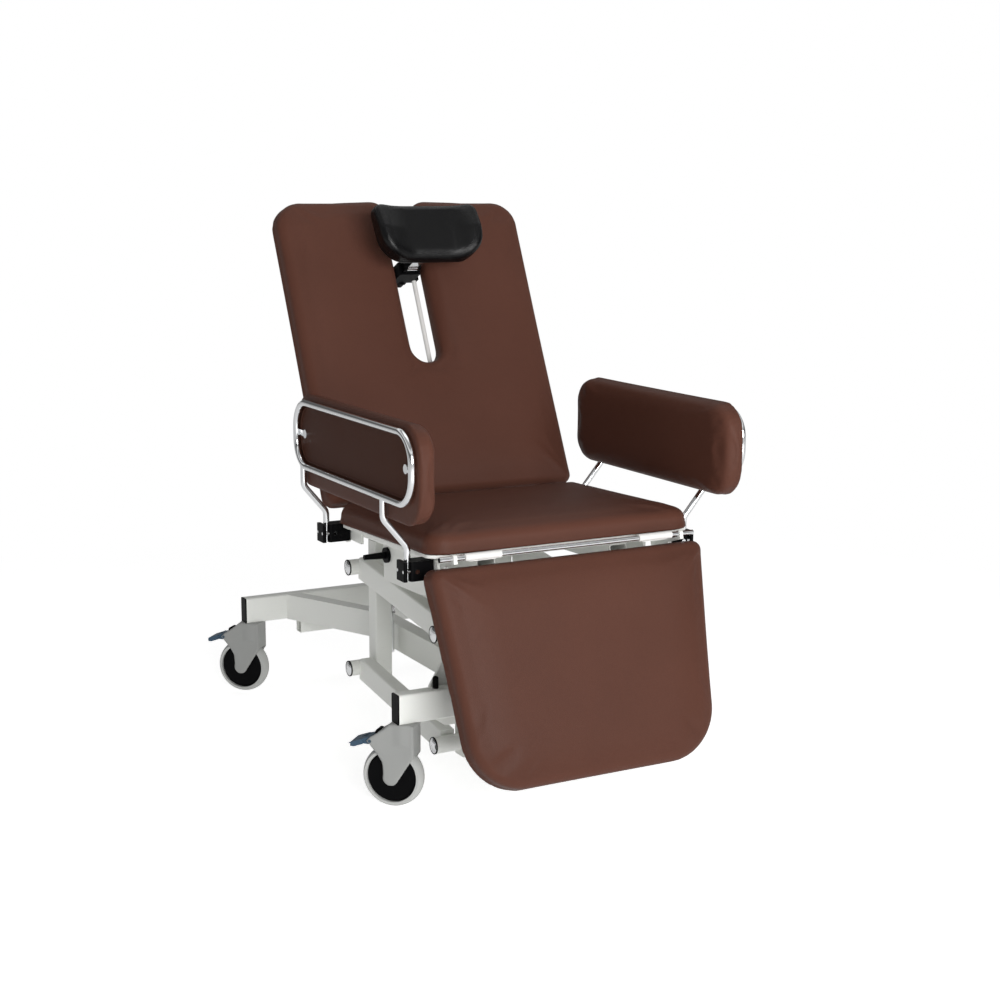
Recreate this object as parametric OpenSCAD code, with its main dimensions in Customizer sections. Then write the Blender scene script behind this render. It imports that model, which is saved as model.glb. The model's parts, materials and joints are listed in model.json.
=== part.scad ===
// Ear, nose and throat examination chair on castors, in millimetres.
// The patient's left is +X, the back is +Y, up is +Z, and the floor is z = 0.

/* [Seat and pads] */
// Width of the seat and the back
pad_w = 600; // [570:5:610]
// Depth of the seat pad from front to rear
seat_l = 457; // [440:1:470]
// Thickness of the seat pad at its edge
seat_t = 40; // [34:1:44]
// Rise of the seat pad's middle over its edge
seat_crown = 16; // [8:1:20]
// Height of the seat pad's rear lower edge over the floor
seat_h = 503; // [500:1:508]
// Slope of the seat, its front higher
seat_tilt = 2; // [1:0.5:3]
// Length of the back pad along its slope
back_l = 692; // [660:2:720]
// Thickness of the back pad
back_t = 61; // [54:1:64]
// Lean of the back from upright, as drawn
back_angle = 25.3; // [22:0.1:28]
// Width of the back pad's slot
slot_w = 74; // [70:1:84]
// Height of the slot's round end along the back pad
slot_s = 298; // [280:2:320]
// Length of the leg pad
leg_l = 438; // [410:2:450]
// Width of the leg pad at its top
leg_w = 606; // [580:2:616]
// Width of the leg pad at its foot
foot_w = 550; // [520:2:570]
// Thickness of the leg pad
leg_t = 54; // [46:1:56]
// Lean of the leg pad from upright, as drawn
leg_angle = 18; // [15:1:21]

/* [Base] */
// Length of the two cross tubes
base_w = 656; // [640:2:680]
// Height of the cross tubes' section
tube_h = 60; // [54:1:64]
// Depth of the cross tubes' section
tube_d = 30; // [26:1:34]
// Wall of the steel tubes
tube_wall = 2; // [1.5:0.5:3]
// Distance between the front and rear castor stems
wheel_base = 863; // [840:1:890]
// Distance of the front castor stems in front of the origin
front_reach = 354.5; // [345:0.5:365]
// Height of the cross tubes' underside over the floor
castor_h = 172; // [170:1:178]
// Diameter of the castor wheels
wheel_d = 125; // [118:1:126]
// Width of the castor wheels
wheel_w = 32; // [28:1:34]
// Horizontal offset from a castor's stem to its axle
castor_trail = 24; // [20:1:26]
// Turn of the castors outwards, as drawn
castor_swivel = 45; // [35:5:55]

/* [Lift] */
// Length of the lift arms from pivot to pivot
arm_l = 428; // [420:1:434]
// Height of the lift arms' section
arm_h = 50; // [44:1:52]
// Width of the lift arms' section
arm_w = 30; // [26:1:32]
// Slope of the lift arms at the lowest seat height
arm_angle = 6.5; // [6:0.5:7]
// Height of the lower front pivots
pivot_z = 101; // [99:1:102]
// Height of the upper pivots over the lower ones
pivot_rise = 229; // [222:1:232]
// Section of the front uprights and the rear posts
post_d = 40; // [36:1:42]
// Distance of the uprights' inner faces from the middle
post_x = 131; // [126:1:134]
// Diameter of the pivot pins
pin_d = 20; // [18:1:22]
// Diameter of the pivot hubs
hub_d = 34; // [30:1:34]
// Length of the pivot hubs
hub_l = 55; // [50:1:56]

/* [Armrests] */
// Length of an armrest pad
rest_l = 600; // [580:5:620]
// Height of an armrest pad
rest_h = 195; // [180:1:205]
// Thickness of an armrest pad
rest_t = 44; // [38:1:44]
// Diameter of the armrest tube
rail_d = 14; // [12:1:14]
// Diameter of the armrest's legs
leg_d = 13; // [11:1:13]
// Length of the tube loop between centre lines
loop_l = 561; // [540:1:575]
// Height of the tube loop between centre lines
loop_h = 133; // [124:1:138]

/* [Headrest] */
// Width of the headrest
head_w = 244; // [220:2:260]
// Height of the headrest
head_h = 130; // [116:1:140]
// Diameter of the headrest's guide rods
guide_d = 10; // [8:0.5:10]

/* [Hidden] */
$fn = 64;

// Overrun of every cut
over = 1;
// Gap between pieces that rest on each other
seat_gap = 0.3;
// Radial clearance of a running pin
run_gap = 0.05;
// Radial clearance at the upper rear lift pivots, which close the linkage
link_gap = 0.3;
// Outer radius on the corners of a steel tube
tube_r = 4;

// Places of the base
front_y = -front_reach;
rear_y = front_y + wheel_base;
base_z = castor_h;
base_top = base_z + tube_h;
cap_t = 3;
cap_plug = 12;
stem_d = 12;
stem_up = 40;
stem_in = 22;
stem_x = base_w / 2 - stem_in;
beam_x = 87.5;
beam_w = 35;
beam_splay_l = 260;
beam_bend_y = rear_y - beam_splay_l;
beam_end_x = 204;
under_w = 376;
under_h = 40;
buffer_d = 12;
buffer_l = 25;
buffer_x = 240;
bumper_d = 25;
bumper_l = 31;
bumper_x = 200;
bumper_drop = 24;

// Places of the lift
pivot_y = front_y + tube_d / 2 + post_d / 2;
upper_z = pivot_z + pivot_rise;
arm_back = arm_l * cos(arm_angle);
arm_up = arm_l * sin(arm_angle);
post_y = pivot_y + arm_back;
hub_gap = 0.4;
hub_x = post_x + post_d + hub_gap;
arm_side = 5.6;
arm_x = hub_x + arm_side;
cap_d = 31;
cap_dome = 6;
upright_foot = 28;
upright_head = 25;
post_foot = 31.5;
gusset_t = 6;
gusset_w = 75;
gusset_low = 25;
gusset_high = 68;
cross_d = 32;
cross_at = 260;

// Places of the lift actuator
drive_foot_y = 16;
drive_foot_z = 69;
drive_y = pivot_y + drive_foot_y;
drive_z = pivot_z + drive_foot_z;
drive_pin = 12;
drive_eye_d = 30;
drive_eye_w = 28;
drive_lug_t = 8;
drive_head_y = 33;
drive_head_z = 189;
drive_top_y = post_y + drive_head_y;
drive_top_z = pivot_z + arm_up + drive_head_z;
drive_l = norm([drive_top_y - drive_y, drive_top_z - drive_z]);
drive_angle = atan2(drive_top_z - drive_z, drive_top_y - drive_y);
drive_tube_d = 42;
drive_tube_l = 372;
drive_rod_d = 25;
drive_rod_back = 250;
drive_top_pin = 14;
drive_play = 4.3;
motor_d = 58;
motor_l = 150;
motor_drop = 64;
gear_l = 66;

// Places of the seat
seat_back = 105.2;
seat_y = post_y - seat_back;
rail_h = 20;
rail_w = 30;
rail_in = 70;
rail_x = pad_w / 2 - rail_in;
pan_t = 6;
pan_side = 8;
pan_w = pad_w - 2 * pan_side;
pan_inset = 18;
pan_front = seat_l - pan_inset;
pan_rear = 9.5;
pan_l = pan_front - pan_rear;
beam_h = 40;
beam_inset = 62;
seat_beam_l = seat_l - beam_inset;
cross_inset = 76;
cross_front = seat_l - cross_inset;
plate_t = 6;
plate_x = rail_x + rail_w;
side_in = 3;
side_x = rail_x + side_in;
back_hinge_out = 21;
back_hinge_up = 9;
leg_hinge_out = 7;
leg_hinge_up = 12;
back_hinge_y = seat_y + back_hinge_out;
back_hinge_z = seat_h + back_hinge_up;
leg_hinge_y = seat_y - seat_l - leg_hinge_out;
leg_hinge_z = seat_h + leg_hinge_up;

// Places of the back, measured from its hinge: depth behind the face and height along the slope
back_face = 24.5;
back_foot = 26.3;
hinge_d = 25;
hinge_stub_d = 16;
back_rail_w = 30;
back_rail_t = 20;
back_rail_in = 32;
back_rail_x = plate_x - back_rail_in;
back_rail_foot = 20;
bracket_w = 22;

// Gas spring of the back
spring_crank_y = 34.4;
spring_crank_z = -29.3;
spring_y = -180;
spring_z = -35;
spring_d = 22;
spring_rod_d = 10;
spring_pin_d = 8;
spring_eye_d = 28;
spring_eye_w = 14;
spring_play = 5.5;
spring_l = norm([spring_crank_y - spring_y, spring_crank_z - spring_z]);
spring_angle = atan2(spring_crank_z - spring_z, spring_crank_y - spring_y);
spring_body_l = 128;
spring_rod_in = 60;

// Places of the leg pad, measured from its hinge rod
leg_face = 13.3;
leg_head = 12;
leg_rod_d = 10;
leg_rod_l = 570;
sleeve_d = 15;
sleeve_x = 155;
sleeve_l = 77;
leg_rail_t = 20;
leg_rail_w = 20;
leg_rail_x = 190;
leg_rail_l = 350;
lug_x = 250;
lug_t = 8;

// Places of the armrests and clamps
loop_out = 64;
loop_x = pad_w / 2 + loop_out;
leg_out = 15;
leg_x = pad_w / 2 + leg_out;
loop_up = 192;
loop_fwd = 234.5;
loop_z = seat_h + loop_up;
loop_y = seat_y - loop_fwd;
loop_r = 55;
leg_fwd = 388;
leg_back = 11;
leg_below = 36;
leg_bend_up = 26;
leg_out_up = 84;
leg_front_y = seat_y - leg_fwd;
leg_rear_y = seat_y + leg_back;
leg_low_z = seat_h - leg_below;
leg_bend_z = seat_h + leg_bend_up;
leg_out_z = seat_h + leg_out_up;
leg_bend_r = 22;
clamp_below = 19.5;
clamp_z = seat_h - clamp_below;
clamp_h = 38;
clamp_d = 36;
clamp_r = 6;
jaw_t = 8;
rest_out = 12;
rest_x = pad_w / 2 + rest_out;
rest_up = 179.5;
rest_fwd = 234;
rest_z = seat_h + rest_up;
rest_y = seat_y - rest_fwd;
rest_r = 62;
pad_tuck = 3;
fix_d = 18;

// Places of the headrest, measured from the back pad's face and foot
guide_x = 26;
guide_t = back_t + back_rail_t / 2;
guide_below = 14;
guide_low = slot_s - guide_below;
guide_high = 606;
back_rail_l = guide_high + back_rail_w;
slide_s = 534;
slide_h = 30;
slide_w = 50;
slide_face = 30;
head_pivot_t = 18;
head_pivot_s = 534;
head_t = 46;
head_front = 112;
head_s = 558;

// A rectangle with round corners, centred
module round_rect(w, h, r) {
  square([w - 2 * r, h], center = true);
  square([w, h - 2 * r], center = true);
  for (x = [-1, 1], y = [-1, 1]) translate([x * (w / 2 - r), y * (h / 2 - r)]) circle(r = r);
}

// A rectangular steel tube along X, centred
module tube_x(l, d, h) {
  rotate([90, 0, 90]) linear_extrude(l, center = true) difference() {
    round_rect(d, h, tube_r);
    round_rect(d - 2 * tube_wall, h - 2 * tube_wall, tube_r - tube_wall);
  }
}

// A rectangular steel tube along Y, from 0 to l
module tube_y(l, w, h) {
  rotate([90, 0, 180]) linear_extrude(l) difference() {
    round_rect(w, h, tube_r);
    round_rect(w - 2 * tube_wall, h - 2 * tube_wall, tube_r - tube_wall);
  }
}

// A square steel tube along Z, from 0 to l
module tube_z(l, w, d) {
  linear_extrude(l) difference() {
    round_rect(w, d, tube_r);
    round_rect(w - 2 * tube_wall, d - 2 * tube_wall, tube_r - tube_wall);
  }
}

// A round bar along X, from x on
module bar_x(x, l, d) {
  translate([x, 0, 0]) rotate([0, 90, 0]) cylinder(h = l, d = d);
}

// Both sides of the chair
module both() {
  children();
  mirror([1, 0, 0]) children();
}

// The castor places: 0 front left, 1 front right, 2 rear left, 3 rear right
module at_castor(i) {
  side = i % 2 == 0 ? 0 : 1;
  y = i < 2 ? front_y : rear_y;
  mirror([side, 0, 0]) translate([stem_x, y, 0]) rotate([0, 0, castor_swivel]) children();
}

// The seat's own frame: origin at the pad's rear lower edge, z square to the pad
module on_seat() {
  translate([0, seat_y, seat_h]) rotate([-seat_tilt, 0, 0]) children();
}

// The back's own frame: y goes back from the pad's face, z runs up the slope from the pad's foot
module on_back() {
  translate([0, back_hinge_y, back_hinge_z]) rotate([-back_angle, 0, 0])
    translate([0, -back_face, back_foot]) children();
}

// The leg pad's own frame: y goes back from the hinge rod, z runs up the slope
module on_leg() {
  translate([0, leg_hinge_y, leg_hinge_z]) rotate([-leg_angle, 0, 0]) children();
}

// The lift actuator's own frame: x runs from the lower pivot to the upper one
module on_drive() {
  translate([0, drive_y, drive_z]) rotate([0, -drive_angle, 90]) children();
}

// The back spring's own frame: x runs from the fixed eye to the crank
module on_spring() {
  translate([0, back_hinge_y + spring_y, back_hinge_z + spring_z])
    rotate([0, -spring_angle, 90]) children();
}

// Corner arcs and drawn-in sides of a convex outline, counter-clockwise
function unit(v) = v / norm(v);
function corner_arc(p, a, b, r, n) =
  let (u = unit(a - p), v = unit(b - p), half = acos(u * v) / 2, c = p + unit(u + v) * r / sin(half),
       s = p + u * r / tan(half) - c, e = p + v * r / tan(half) - c,
       a0 = atan2(s.y, s.x), a1 = atan2(e.y, e.x), sweep = (a1 - a0 + 720) % 360)
  [for (i = [0:n]) c + r * [cos(a0 + sweep * i / n), sin(a0 + sweep * i / n)]];
function side_points(a, b, n, tuck) =
  let (d = unit(b - a), inward = [-d.y, d.x])
  [for (i = [1:n - 1]) a + (b - a) * i / n + inward * tuck * 4 * (i / n) * (1 - i / n)];
function outline(pts, radii, n, m, tuck) =
  let (k = len(pts), arcs = [for (i = [0:k - 1])
    corner_arc(pts[i], pts[(i + k - 1) % k], pts[(i + 1) % k], radii[i], n)])
  [for (i = [0:k - 1]) each concat(arcs[i], side_points(arcs[i][n], arcs[(i + 1) % k][0], m, tuck))];

// A closed skin over rings of equally many points, each ring higher than the last
module loft(rings) {
  n = len(rings[0]);
  k = len(rings);
  low = [for (p = rings[0]) 1] * rings[0] / n;
  high = [for (p = rings[k - 1]) 1] * rings[k - 1] / n;
  points = concat([for (ring = rings) each ring], [low, high]);
  walls = [for (i = [0:k - 2], j = [0:n - 1])
    let (a = i * n + j, b = i * n + (j + 1) % n, c = b + n, d = a + n) each [[a, d, c], [a, c, b]]];
  floor = [for (j = [0:n - 1]) [n * k, j, (j + 1) % n]];
  roof = [for (j = [0:n - 1]) [n * k + 1, n * (k - 1) + (j + 1) % n, n * (k - 1) + j]];
  polyhedron(points = points, faces = concat(walls, floor, roof), convexity = 4);
}

// A pad over an outline: rings are insets from the edge and heights
module pad(points, w, l, rings) {
  loft([for (ring = rings) [for (p = points)
    [p.x * (1 - 2 * ring[0] / w), p.y * (1 - 2 * ring[0] / l), ring[1]]]]);
}

// Insets and heights of a pad with a flat back, drawn-in sides and a crowned face
edge_shares = [[0.20, 0], [0.06, 0.14], [0, 0.42], [0.02, 0.68], [0.12, 0.90], [0.32, 1]];
crown_shares = [[0.10, 0.36], [0.22, 0.62], [0.38, 0.82], [0.60, 0.95], [0.80, 1]];
function pad_rings(t, crown, w) = concat(
  [for (s = edge_shares) [s[0] * t, s[1] * t]],
  [for (s = crown_shares) [0.32 * t + s[0] * (w / 2 - 0.32 * t), t + s[1] * crown]]);

// A bar bent in the XY plane through the given corners; its straights are a hair slimmer than its
// bends and let into them, so that no two round faces lie on each other
function turn_at(p, i) = let (u = unit(p[i] - p[i - 1]), v = unit(p[i + 1] - p[i]))
  atan2(u.x * v.y - u.y * v.x, u * v);
function trim_at(p, i, r) = i == 0 || i == len(p) - 1 ? 0 : r * tan(abs(turn_at(p, i)) / 2);
module bent_tube(p, r, d) {
  for (i = [0:len(p) - 2]) {
    a = p[i];
    v = p[i + 1] - a;
    start = i == 0 ? 0 : trim_at(p, i, r) - seat_gap;
    end = i == len(p) - 2 ? norm(v) : norm(v) - trim_at(p, i + 1, r) + seat_gap;
    translate([a.x, a.y, 0]) rotate([0, 0, atan2(v.y, v.x)]) bar_x(start, end - start, d - 2 * run_gap);
  }
  for (i = [1:len(p) - 2]) {
    u = unit(p[i] - p[i - 1]);
    t = turn_at(p, i);
    s = sign(t);
    q = p[i] - u * trim_at(p, i, r) + s * r * [-u.y, u.x];
    translate([q.x, q.y, 0]) rotate([0, 0, atan2(u.y, u.x) - s * 90 + min(t, 0)])
      rotate_extrude(angle = abs(t)) translate([r, 0]) circle(d = d);
  }
}

// Base

module cross_tube(y) {
  difference() {
    translate([0, y, base_z + tube_h / 2]) tube_x(base_w - 2 * cap_t, tube_d, tube_h);
    both() translate([stem_x, y, base_z - over]) cylinder(h = tube_wall + 2 * over, d = stem_d + 2 * run_gap);
  }
}

module base_front_tube() {
  color("whitesmoke") cross_tube(front_y);
}

module base_rear_tube() {
  color("whitesmoke") {
    cross_tube(rear_y);
    translate([0, rear_y, base_z - under_h / 2]) tube_x(under_w, tube_d, under_h);
  }
}

// Plan of a splayed beam, of half width h, from the front tube to the rear tube
module beam_plan(h, y0, y1) {
  bend = atan2(beam_end_x - beam_x, rear_y - tube_d / 2 - beam_bend_y);
  k = h * tan(bend / 2);
  e = h / cos(bend);
  slope = tan(bend);
  end_x = beam_x + (y1 - beam_bend_y) * slope;
  polygon([[beam_x - h, y0], [beam_x + h, y0], [beam_x + h, beam_bend_y - k],
    [end_x + e, y1], [end_x - e, y1], [beam_x - h, beam_bend_y + k]]);
}

module base_beams() {
  y0 = front_y + tube_d / 2;
  y1 = rear_y - tube_d / 2;
  color("whitesmoke") both() translate([0, 0, base_z]) difference() {
    linear_extrude(tube_h) beam_plan(beam_w / 2, y0, y1);
    translate([0, 0, tube_wall]) linear_extrude(tube_h - 2 * tube_wall)
      beam_plan(beam_w / 2 - tube_wall, y0 - over, y1 + over);
  }
}

module upright(foot, head) {
  difference() {
    translate([0, 0, foot]) tube_z(head - foot, post_d, post_d);
    for (z = [pivot_z, upper_z]) translate([0, 0, z]) bar_x(-post_d, 2 * post_d, pin_d);
  }
}

module front_uprights() {
  x0 = post_d / 2;
  color("whitesmoke") both() translate([post_x + post_d / 2, pivot_y, 0]) {
    upright(pivot_z - upright_foot, upper_z + upright_head);
    translate([0, gusset_t - post_d / 2, 0]) rotate([90, 0, 0]) linear_extrude(gusset_t) polygon([
      [x0, base_z - gusset_low], [x0 + 0.55 * gusset_w, base_z - gusset_low], [x0 + gusset_w, base_z],
      [x0 + gusset_w, base_top], [x0 + 0.45 * gusset_w, base_top + gusset_high],
      [x0, base_top + gusset_high]]);
  }
}

module tube_end_caps() {
  color("black") for (y = [front_y, rear_y]) both() translate([base_w / 2, y, base_z + tube_h / 2])
    rotate([90, 0, 90]) {
      translate([0, 0, -cap_t]) linear_extrude(cap_t) round_rect(tube_d, tube_h, tube_r);
      translate([0, 0, -cap_t - cap_plug]) linear_extrude(cap_plug)
        round_rect(tube_d - 2 * tube_wall, tube_h - 2 * tube_wall, tube_r - tube_wall);
    }
}

module rubber_buffers() {
  color("black") both() {
    translate([buffer_x, front_y, base_top]) {
      cylinder(h = buffer_l - buffer_d / 2, d = buffer_d);
      translate([0, 0, buffer_l - buffer_d / 2]) sphere(d = buffer_d);
    }
    translate([bumper_x, front_y - tube_d / 2, base_top - bumper_drop]) rotate([90, 0, 0]) {
      cylinder(h = bumper_l / 2, d = bumper_d);
      cylinder(h = bumper_l, d1 = bumper_d, d2 = bumper_d * 0.72);
    }
  }
}

// A pivot pin with its domed chrome cap, along X from the inner face of a post
module pivot_pin() {
  bar_x(post_x, hub_x + hub_l - post_x + seat_gap, pin_d);
  translate([hub_x + hub_l + seat_gap, 0, 0]) rotate([0, 90, 0]) intersection() {
    cylinder(h = cap_dome, d = cap_d);
    translate([0, 0, cap_dome - cap_d]) sphere(r = cap_d);
  }
}

module front_pivot_pins() {
  color("silver") both() for (z = [pivot_z, upper_z]) translate([0, pivot_y, z]) pivot_pin();
}

module rear_pivot_pins() {
  color("silver") both() for (z = [pivot_z, upper_z]) translate([0, post_y, z + arm_up]) pivot_pin();
}

module lift_bracket() {
  back = drive_y - front_y - tube_d / 2;
  x = drive_eye_w / 2 + seat_gap;
  color("whitesmoke") translate([0, drive_y, drive_z]) {
    both() translate([x, 0, 0]) rotate([90, 0, 90]) linear_extrude(drive_lug_t) {
      circle(d = drive_eye_d);
      translate([-back, -drive_eye_d / 2]) square([back, drive_eye_d]);
      translate([-back, 0]) square([tube_h / 4, base_top - tube_h / 4 - drive_z]);
    }
    bar_x(-x - drive_lug_t, 2 * (x + drive_lug_t), drive_pin);
  }
}

// Castors: x runs along the trail and z is the height over the floor

cheek_gap = 3;
cheek_x = wheel_w / 2 + cheek_gap;
cheek_t = 4;
axle_d = 12;
axle_z = wheel_d / 2;
boss_d = 34;
tyre_t = 11;
core_d = wheel_d - 2 * tyre_t;
rim_step = 3;
rim_w = wheel_w - 2 * rim_step;
crown_gap = 5;
crown_z = wheel_d + crown_gap;
fork_top = castor_h - seat_gap;
nose = 24;
shoulder = 26;
tail_out = 34;
tail_h = 10;
tail_x = castor_trail + tail_out;
tail_z = crown_z + tail_h;
pedal_out = 42;
pedal_up = 9;
pedal_x = castor_trail + pedal_out;
pedal_z = wheel_d + pedal_up;
pedal_pin = 7;
pedal_hub = 15;
pedal_w = 44;
pedal_reach = 41;
pedal_drop = 10;
pedal_t = 8;
lug_r = 8;

module castor_fork() {
  color("dimgray") {
    translate([0, 0, crown_z]) cylinder(h = fork_top + stem_up - crown_z, d = stem_d);
    rotate([90, 0, 0]) difference() {
      union() {
        linear_extrude(2 * cheek_x, center = true) polygon([[-nose, fork_top], [shoulder, fork_top],
          [tail_x, tail_z], [tail_x, crown_z], [-nose - cheek_t, crown_z]]);
        for (z = [-cheek_x - cheek_t, cheek_x]) translate([0, 0, z]) linear_extrude(cheek_t) {
          polygon([[-nose, fork_top], [shoulder, fork_top], [tail_x, tail_z], [pedal_x, pedal_z + lug_r],
            [pedal_x, pedal_z - lug_r], [tail_x, crown_z - lug_r], [castor_trail + boss_d / 2, axle_z],
            [castor_trail - boss_d / 2, axle_z], [-nose - cheek_t, crown_z]]);
          translate([castor_trail, axle_z]) circle(d = boss_d);
          translate([pedal_x, pedal_z]) circle(r = lug_r);
        }
        translate([castor_trail, axle_z, 0])
          cylinder(h = 2 * (cheek_x + cheek_t), d = axle_d, center = true);
      }
      translate([pedal_x, pedal_z, 0])
        cylinder(h = 3 * cheek_x, d = pedal_pin + 2 * run_gap, center = true);
    }
  }
}

module castor_core() {
  bore = axle_d / 2 + run_gap;
  color("black") translate([castor_trail, 0, axle_z]) rotate([90, 0, 0]) rotate_extrude() polygon([
    [bore, -cheek_x + seat_gap], [bore + cheek_t, -cheek_x + seat_gap], [bore + cheek_t, -rim_w / 2],
    [core_d / 2 - cheek_t, -rim_w / 2], [core_d / 2, -rim_w / 2 + cheek_t],
    [core_d / 2, rim_w / 2 - cheek_t], [core_d / 2 - cheek_t, rim_w / 2], [bore + cheek_t, rim_w / 2],
    [bore + cheek_t, cheek_x - seat_gap], [bore, cheek_x - seat_gap]]);
}

module castor_tyre() {
  color("gray") translate([castor_trail, 0, axle_z]) rotate([90, 0, 0]) rotate_extrude() intersection() {
    translate([core_d / 2, -wheel_w / 2]) square([tyre_t, wheel_w]);
    translate([wheel_d / 2 - wheel_w * 0.8, 0]) circle(r = wheel_w * 0.8);
  }
}

module castor_pedal() {
  color("steelblue") translate([pedal_x, 0, pedal_z]) rotate([90, 0, 0]) {
    cylinder(h = 2 * (cheek_x + cheek_t), d = pedal_pin, center = true);
    cylinder(h = 2 * (cheek_x - seat_gap), d = pedal_hub, center = true);
    linear_extrude(2 * (cheek_x - seat_gap), center = true) polygon([[0, -pedal_hub / 2],
      [pedal_hub, -pedal_hub / 2], [pedal_hub, pedal_hub / 2 - pedal_t / 2], [0, pedal_hub / 2]]);
    linear_extrude(pedal_w, center = true) polygon([[pedal_hub, -pedal_hub / 2],
      [pedal_reach - pedal_t, -pedal_drop - pedal_t / 2], [pedal_reach, -pedal_drop - pedal_t / 2],
      [pedal_reach, -pedal_drop + pedal_t / 2], [pedal_hub, pedal_hub / 2 - pedal_t / 2]]);
  }
}

module castor_fork_fl() { at_castor(0) castor_fork(); }
module castor_fork_fr() { at_castor(1) castor_fork(); }
module castor_fork_rl() { at_castor(2) castor_fork(); }
module castor_fork_rr() { at_castor(3) castor_fork(); }
module castor_core_fl() { at_castor(0) castor_core(); }
module castor_core_fr() { at_castor(1) castor_core(); }
module castor_core_rl() { at_castor(2) castor_core(); }
module castor_core_rr() { at_castor(3) castor_core(); }
module castor_tyre_fl() { at_castor(0) castor_tyre(); }
module castor_tyre_fr() { at_castor(1) castor_tyre(); }
module castor_tyre_rl() { at_castor(2) castor_tyre(); }
module castor_tyre_rr() { at_castor(3) castor_tyre(); }
module castor_pedal_fl() { at_castor(0) castor_pedal(); }
module castor_pedal_fr() { at_castor(1) castor_pedal(); }
module castor_pedal_rl() { at_castor(2) castor_pedal(); }
module castor_pedal_rr() { at_castor(3) castor_pedal(); }

// Lift

arm_sink = 5;
arm_inset = hub_d / 2 - arm_sink;
end_t = 3;

module lift_arm(z, rear_gap) {
  both() translate([0, pivot_y, z]) rotate([arm_angle, 0, 0]) difference() {
    union() {
      for (y = [0, arm_l]) translate([0, y, 0]) bar_x(hub_x, hub_l, hub_d);
      translate([arm_x + arm_w / 2, arm_inset, 0]) tube_y(arm_l - 2 * arm_inset, arm_w, arm_h);
      for (y = [arm_inset, arm_l - arm_inset - end_t]) translate([arm_x + arm_w / 2, y, 0])
        rotate([90, 0, 180]) linear_extrude(end_t) round_rect(arm_w, arm_h, tube_r);
    }
    bar_x(hub_x - over, hub_l + 2 * over, pin_d + 2 * run_gap);
    translate([0, arm_l, 0]) bar_x(hub_x - over, hub_l + 2 * over, pin_d + 2 * rear_gap);
  }
}

module lower_arms() {
  color("whitesmoke") lift_arm(pivot_z, run_gap);
}

module upper_arms() {
  color("whitesmoke") {
    lift_arm(upper_z, link_gap);
    translate([0, pivot_y, upper_z]) rotate([arm_angle, 0, 0]) translate([-arm_x, cross_at, 0])
      rotate([0, 90, 0]) difference() {
        cylinder(h = 2 * arm_x, d = cross_d);
        translate([0, 0, -over]) cylinder(h = 2 * (arm_x + over), d = cross_d - 2 * tube_wall);
      }
  }
}

module lift_actuator() {
  tube_from = drive_eye_d / 2 + gear_l;
  color("silver") on_drive() difference() {
    union() {
      rotate([90, 0, 0]) cylinder(h = drive_eye_w, d = drive_eye_d, center = true);
      translate([0, -drive_eye_w / 2, -drive_eye_d / 2]) cube([drive_eye_d, drive_eye_w, drive_eye_d]);
      translate([drive_eye_d / 2 + over, 0, -motor_drop / 2]) rotate([90, 0, 90]) linear_extrude(gear_l)
        round_rect(motor_d, motor_d + motor_drop, motor_d / 3);
      bar_x(tube_from, drive_tube_l - tube_from, drive_tube_d);
    }
    rotate([90, 0, 0]) cylinder(h = drive_eye_w + 2 * over, d = drive_pin + 2 * run_gap, center = true);
    bar_x(drive_rod_back - cap_plug, drive_l, drive_rod_d + 2 * run_gap);
  }
}

module lift_motor() {
  color("dimgray") on_drive() translate([0, 0, -motor_drop]) {
    bar_x(drive_eye_d / 2 + gear_l + over, motor_l - cap_plug, motor_d);
    bar_x(drive_eye_d / 2 + gear_l + over + motor_l - cap_plug, cap_plug, motor_d - cap_plug);
  }
}

module lift_rod() {
  eye_d = drive_top_pin + 2 * drive_play;
  color("silver") on_drive() difference() {
    union() {
      bar_x(drive_rod_back, drive_l - drive_rod_back, drive_rod_d);
      translate([drive_l, 0, 0]) rotate([90, 0, 0])
        cylinder(h = drive_eye_w, d = eye_d + 2 * cheek_t, center = true);
    }
    translate([drive_l, 0, 0]) rotate([90, 0, 0])
      cylinder(h = drive_eye_w + 2 * over, d = eye_d, center = true);
  }
}

// Everything above the seat beams' underside
module over_beams() {
  on_seat() translate([-pad_w, -seat_l, -pan_t - rail_h - beam_h]) cube([2 * pad_w, 2 * seat_l, pad_w]);
}

module rear_posts() {
  x = drive_eye_w / 2 + seat_gap;
  tie_up = 42;
  tie_z = drive_top_z + tie_up;
  low = pivot_z + arm_up - post_foot;
  color("whitesmoke") {
    both() translate([post_x + post_d / 2, post_y, 0]) difference() {
      translate([0, 0, low]) tube_z(seat_h - low, post_d, post_d);
      for (z = [pivot_z, upper_z]) translate([0, 0, z + arm_up]) bar_x(-post_d, 2 * post_d, pin_d);
      translate([-post_x - post_d / 2, -post_y, 0]) over_beams();
    }
    translate([0, post_y, tie_z]) tube_x(2 * post_x, post_d, tube_d);
    both() translate([x, drive_top_y, drive_top_z]) rotate([90, 0, 90]) linear_extrude(drive_lug_t) {
      circle(d = drive_eye_d);
      polygon([[-drive_eye_d / 2, 0], [drive_eye_d / 2, 0], [post_y + post_d / 2 - drive_top_y,
        tie_z - tube_d / 2 - drive_top_z], [post_y - drive_top_y, tie_z - tube_d / 2 - drive_top_z]]);
    }
    translate([0, drive_top_y, drive_top_z]) bar_x(-x - drive_lug_t, 2 * (x + drive_lug_t), drive_top_pin);
  }
}

module stop_rods() {
  x = post_x - stem_d;
  color("silver") both() translate([x, post_y + post_d / 4, 0]) {
    translate([0, 0, base_z]) cylinder(h = tube_h * 2, d = stem_d);
    translate([-stem_d / 2, -stem_d / 2, base_top + tube_h / 2]) cube([stem_d * 1.5, stem_d, tube_h / 3]);
  }
}

// Seat

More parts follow.
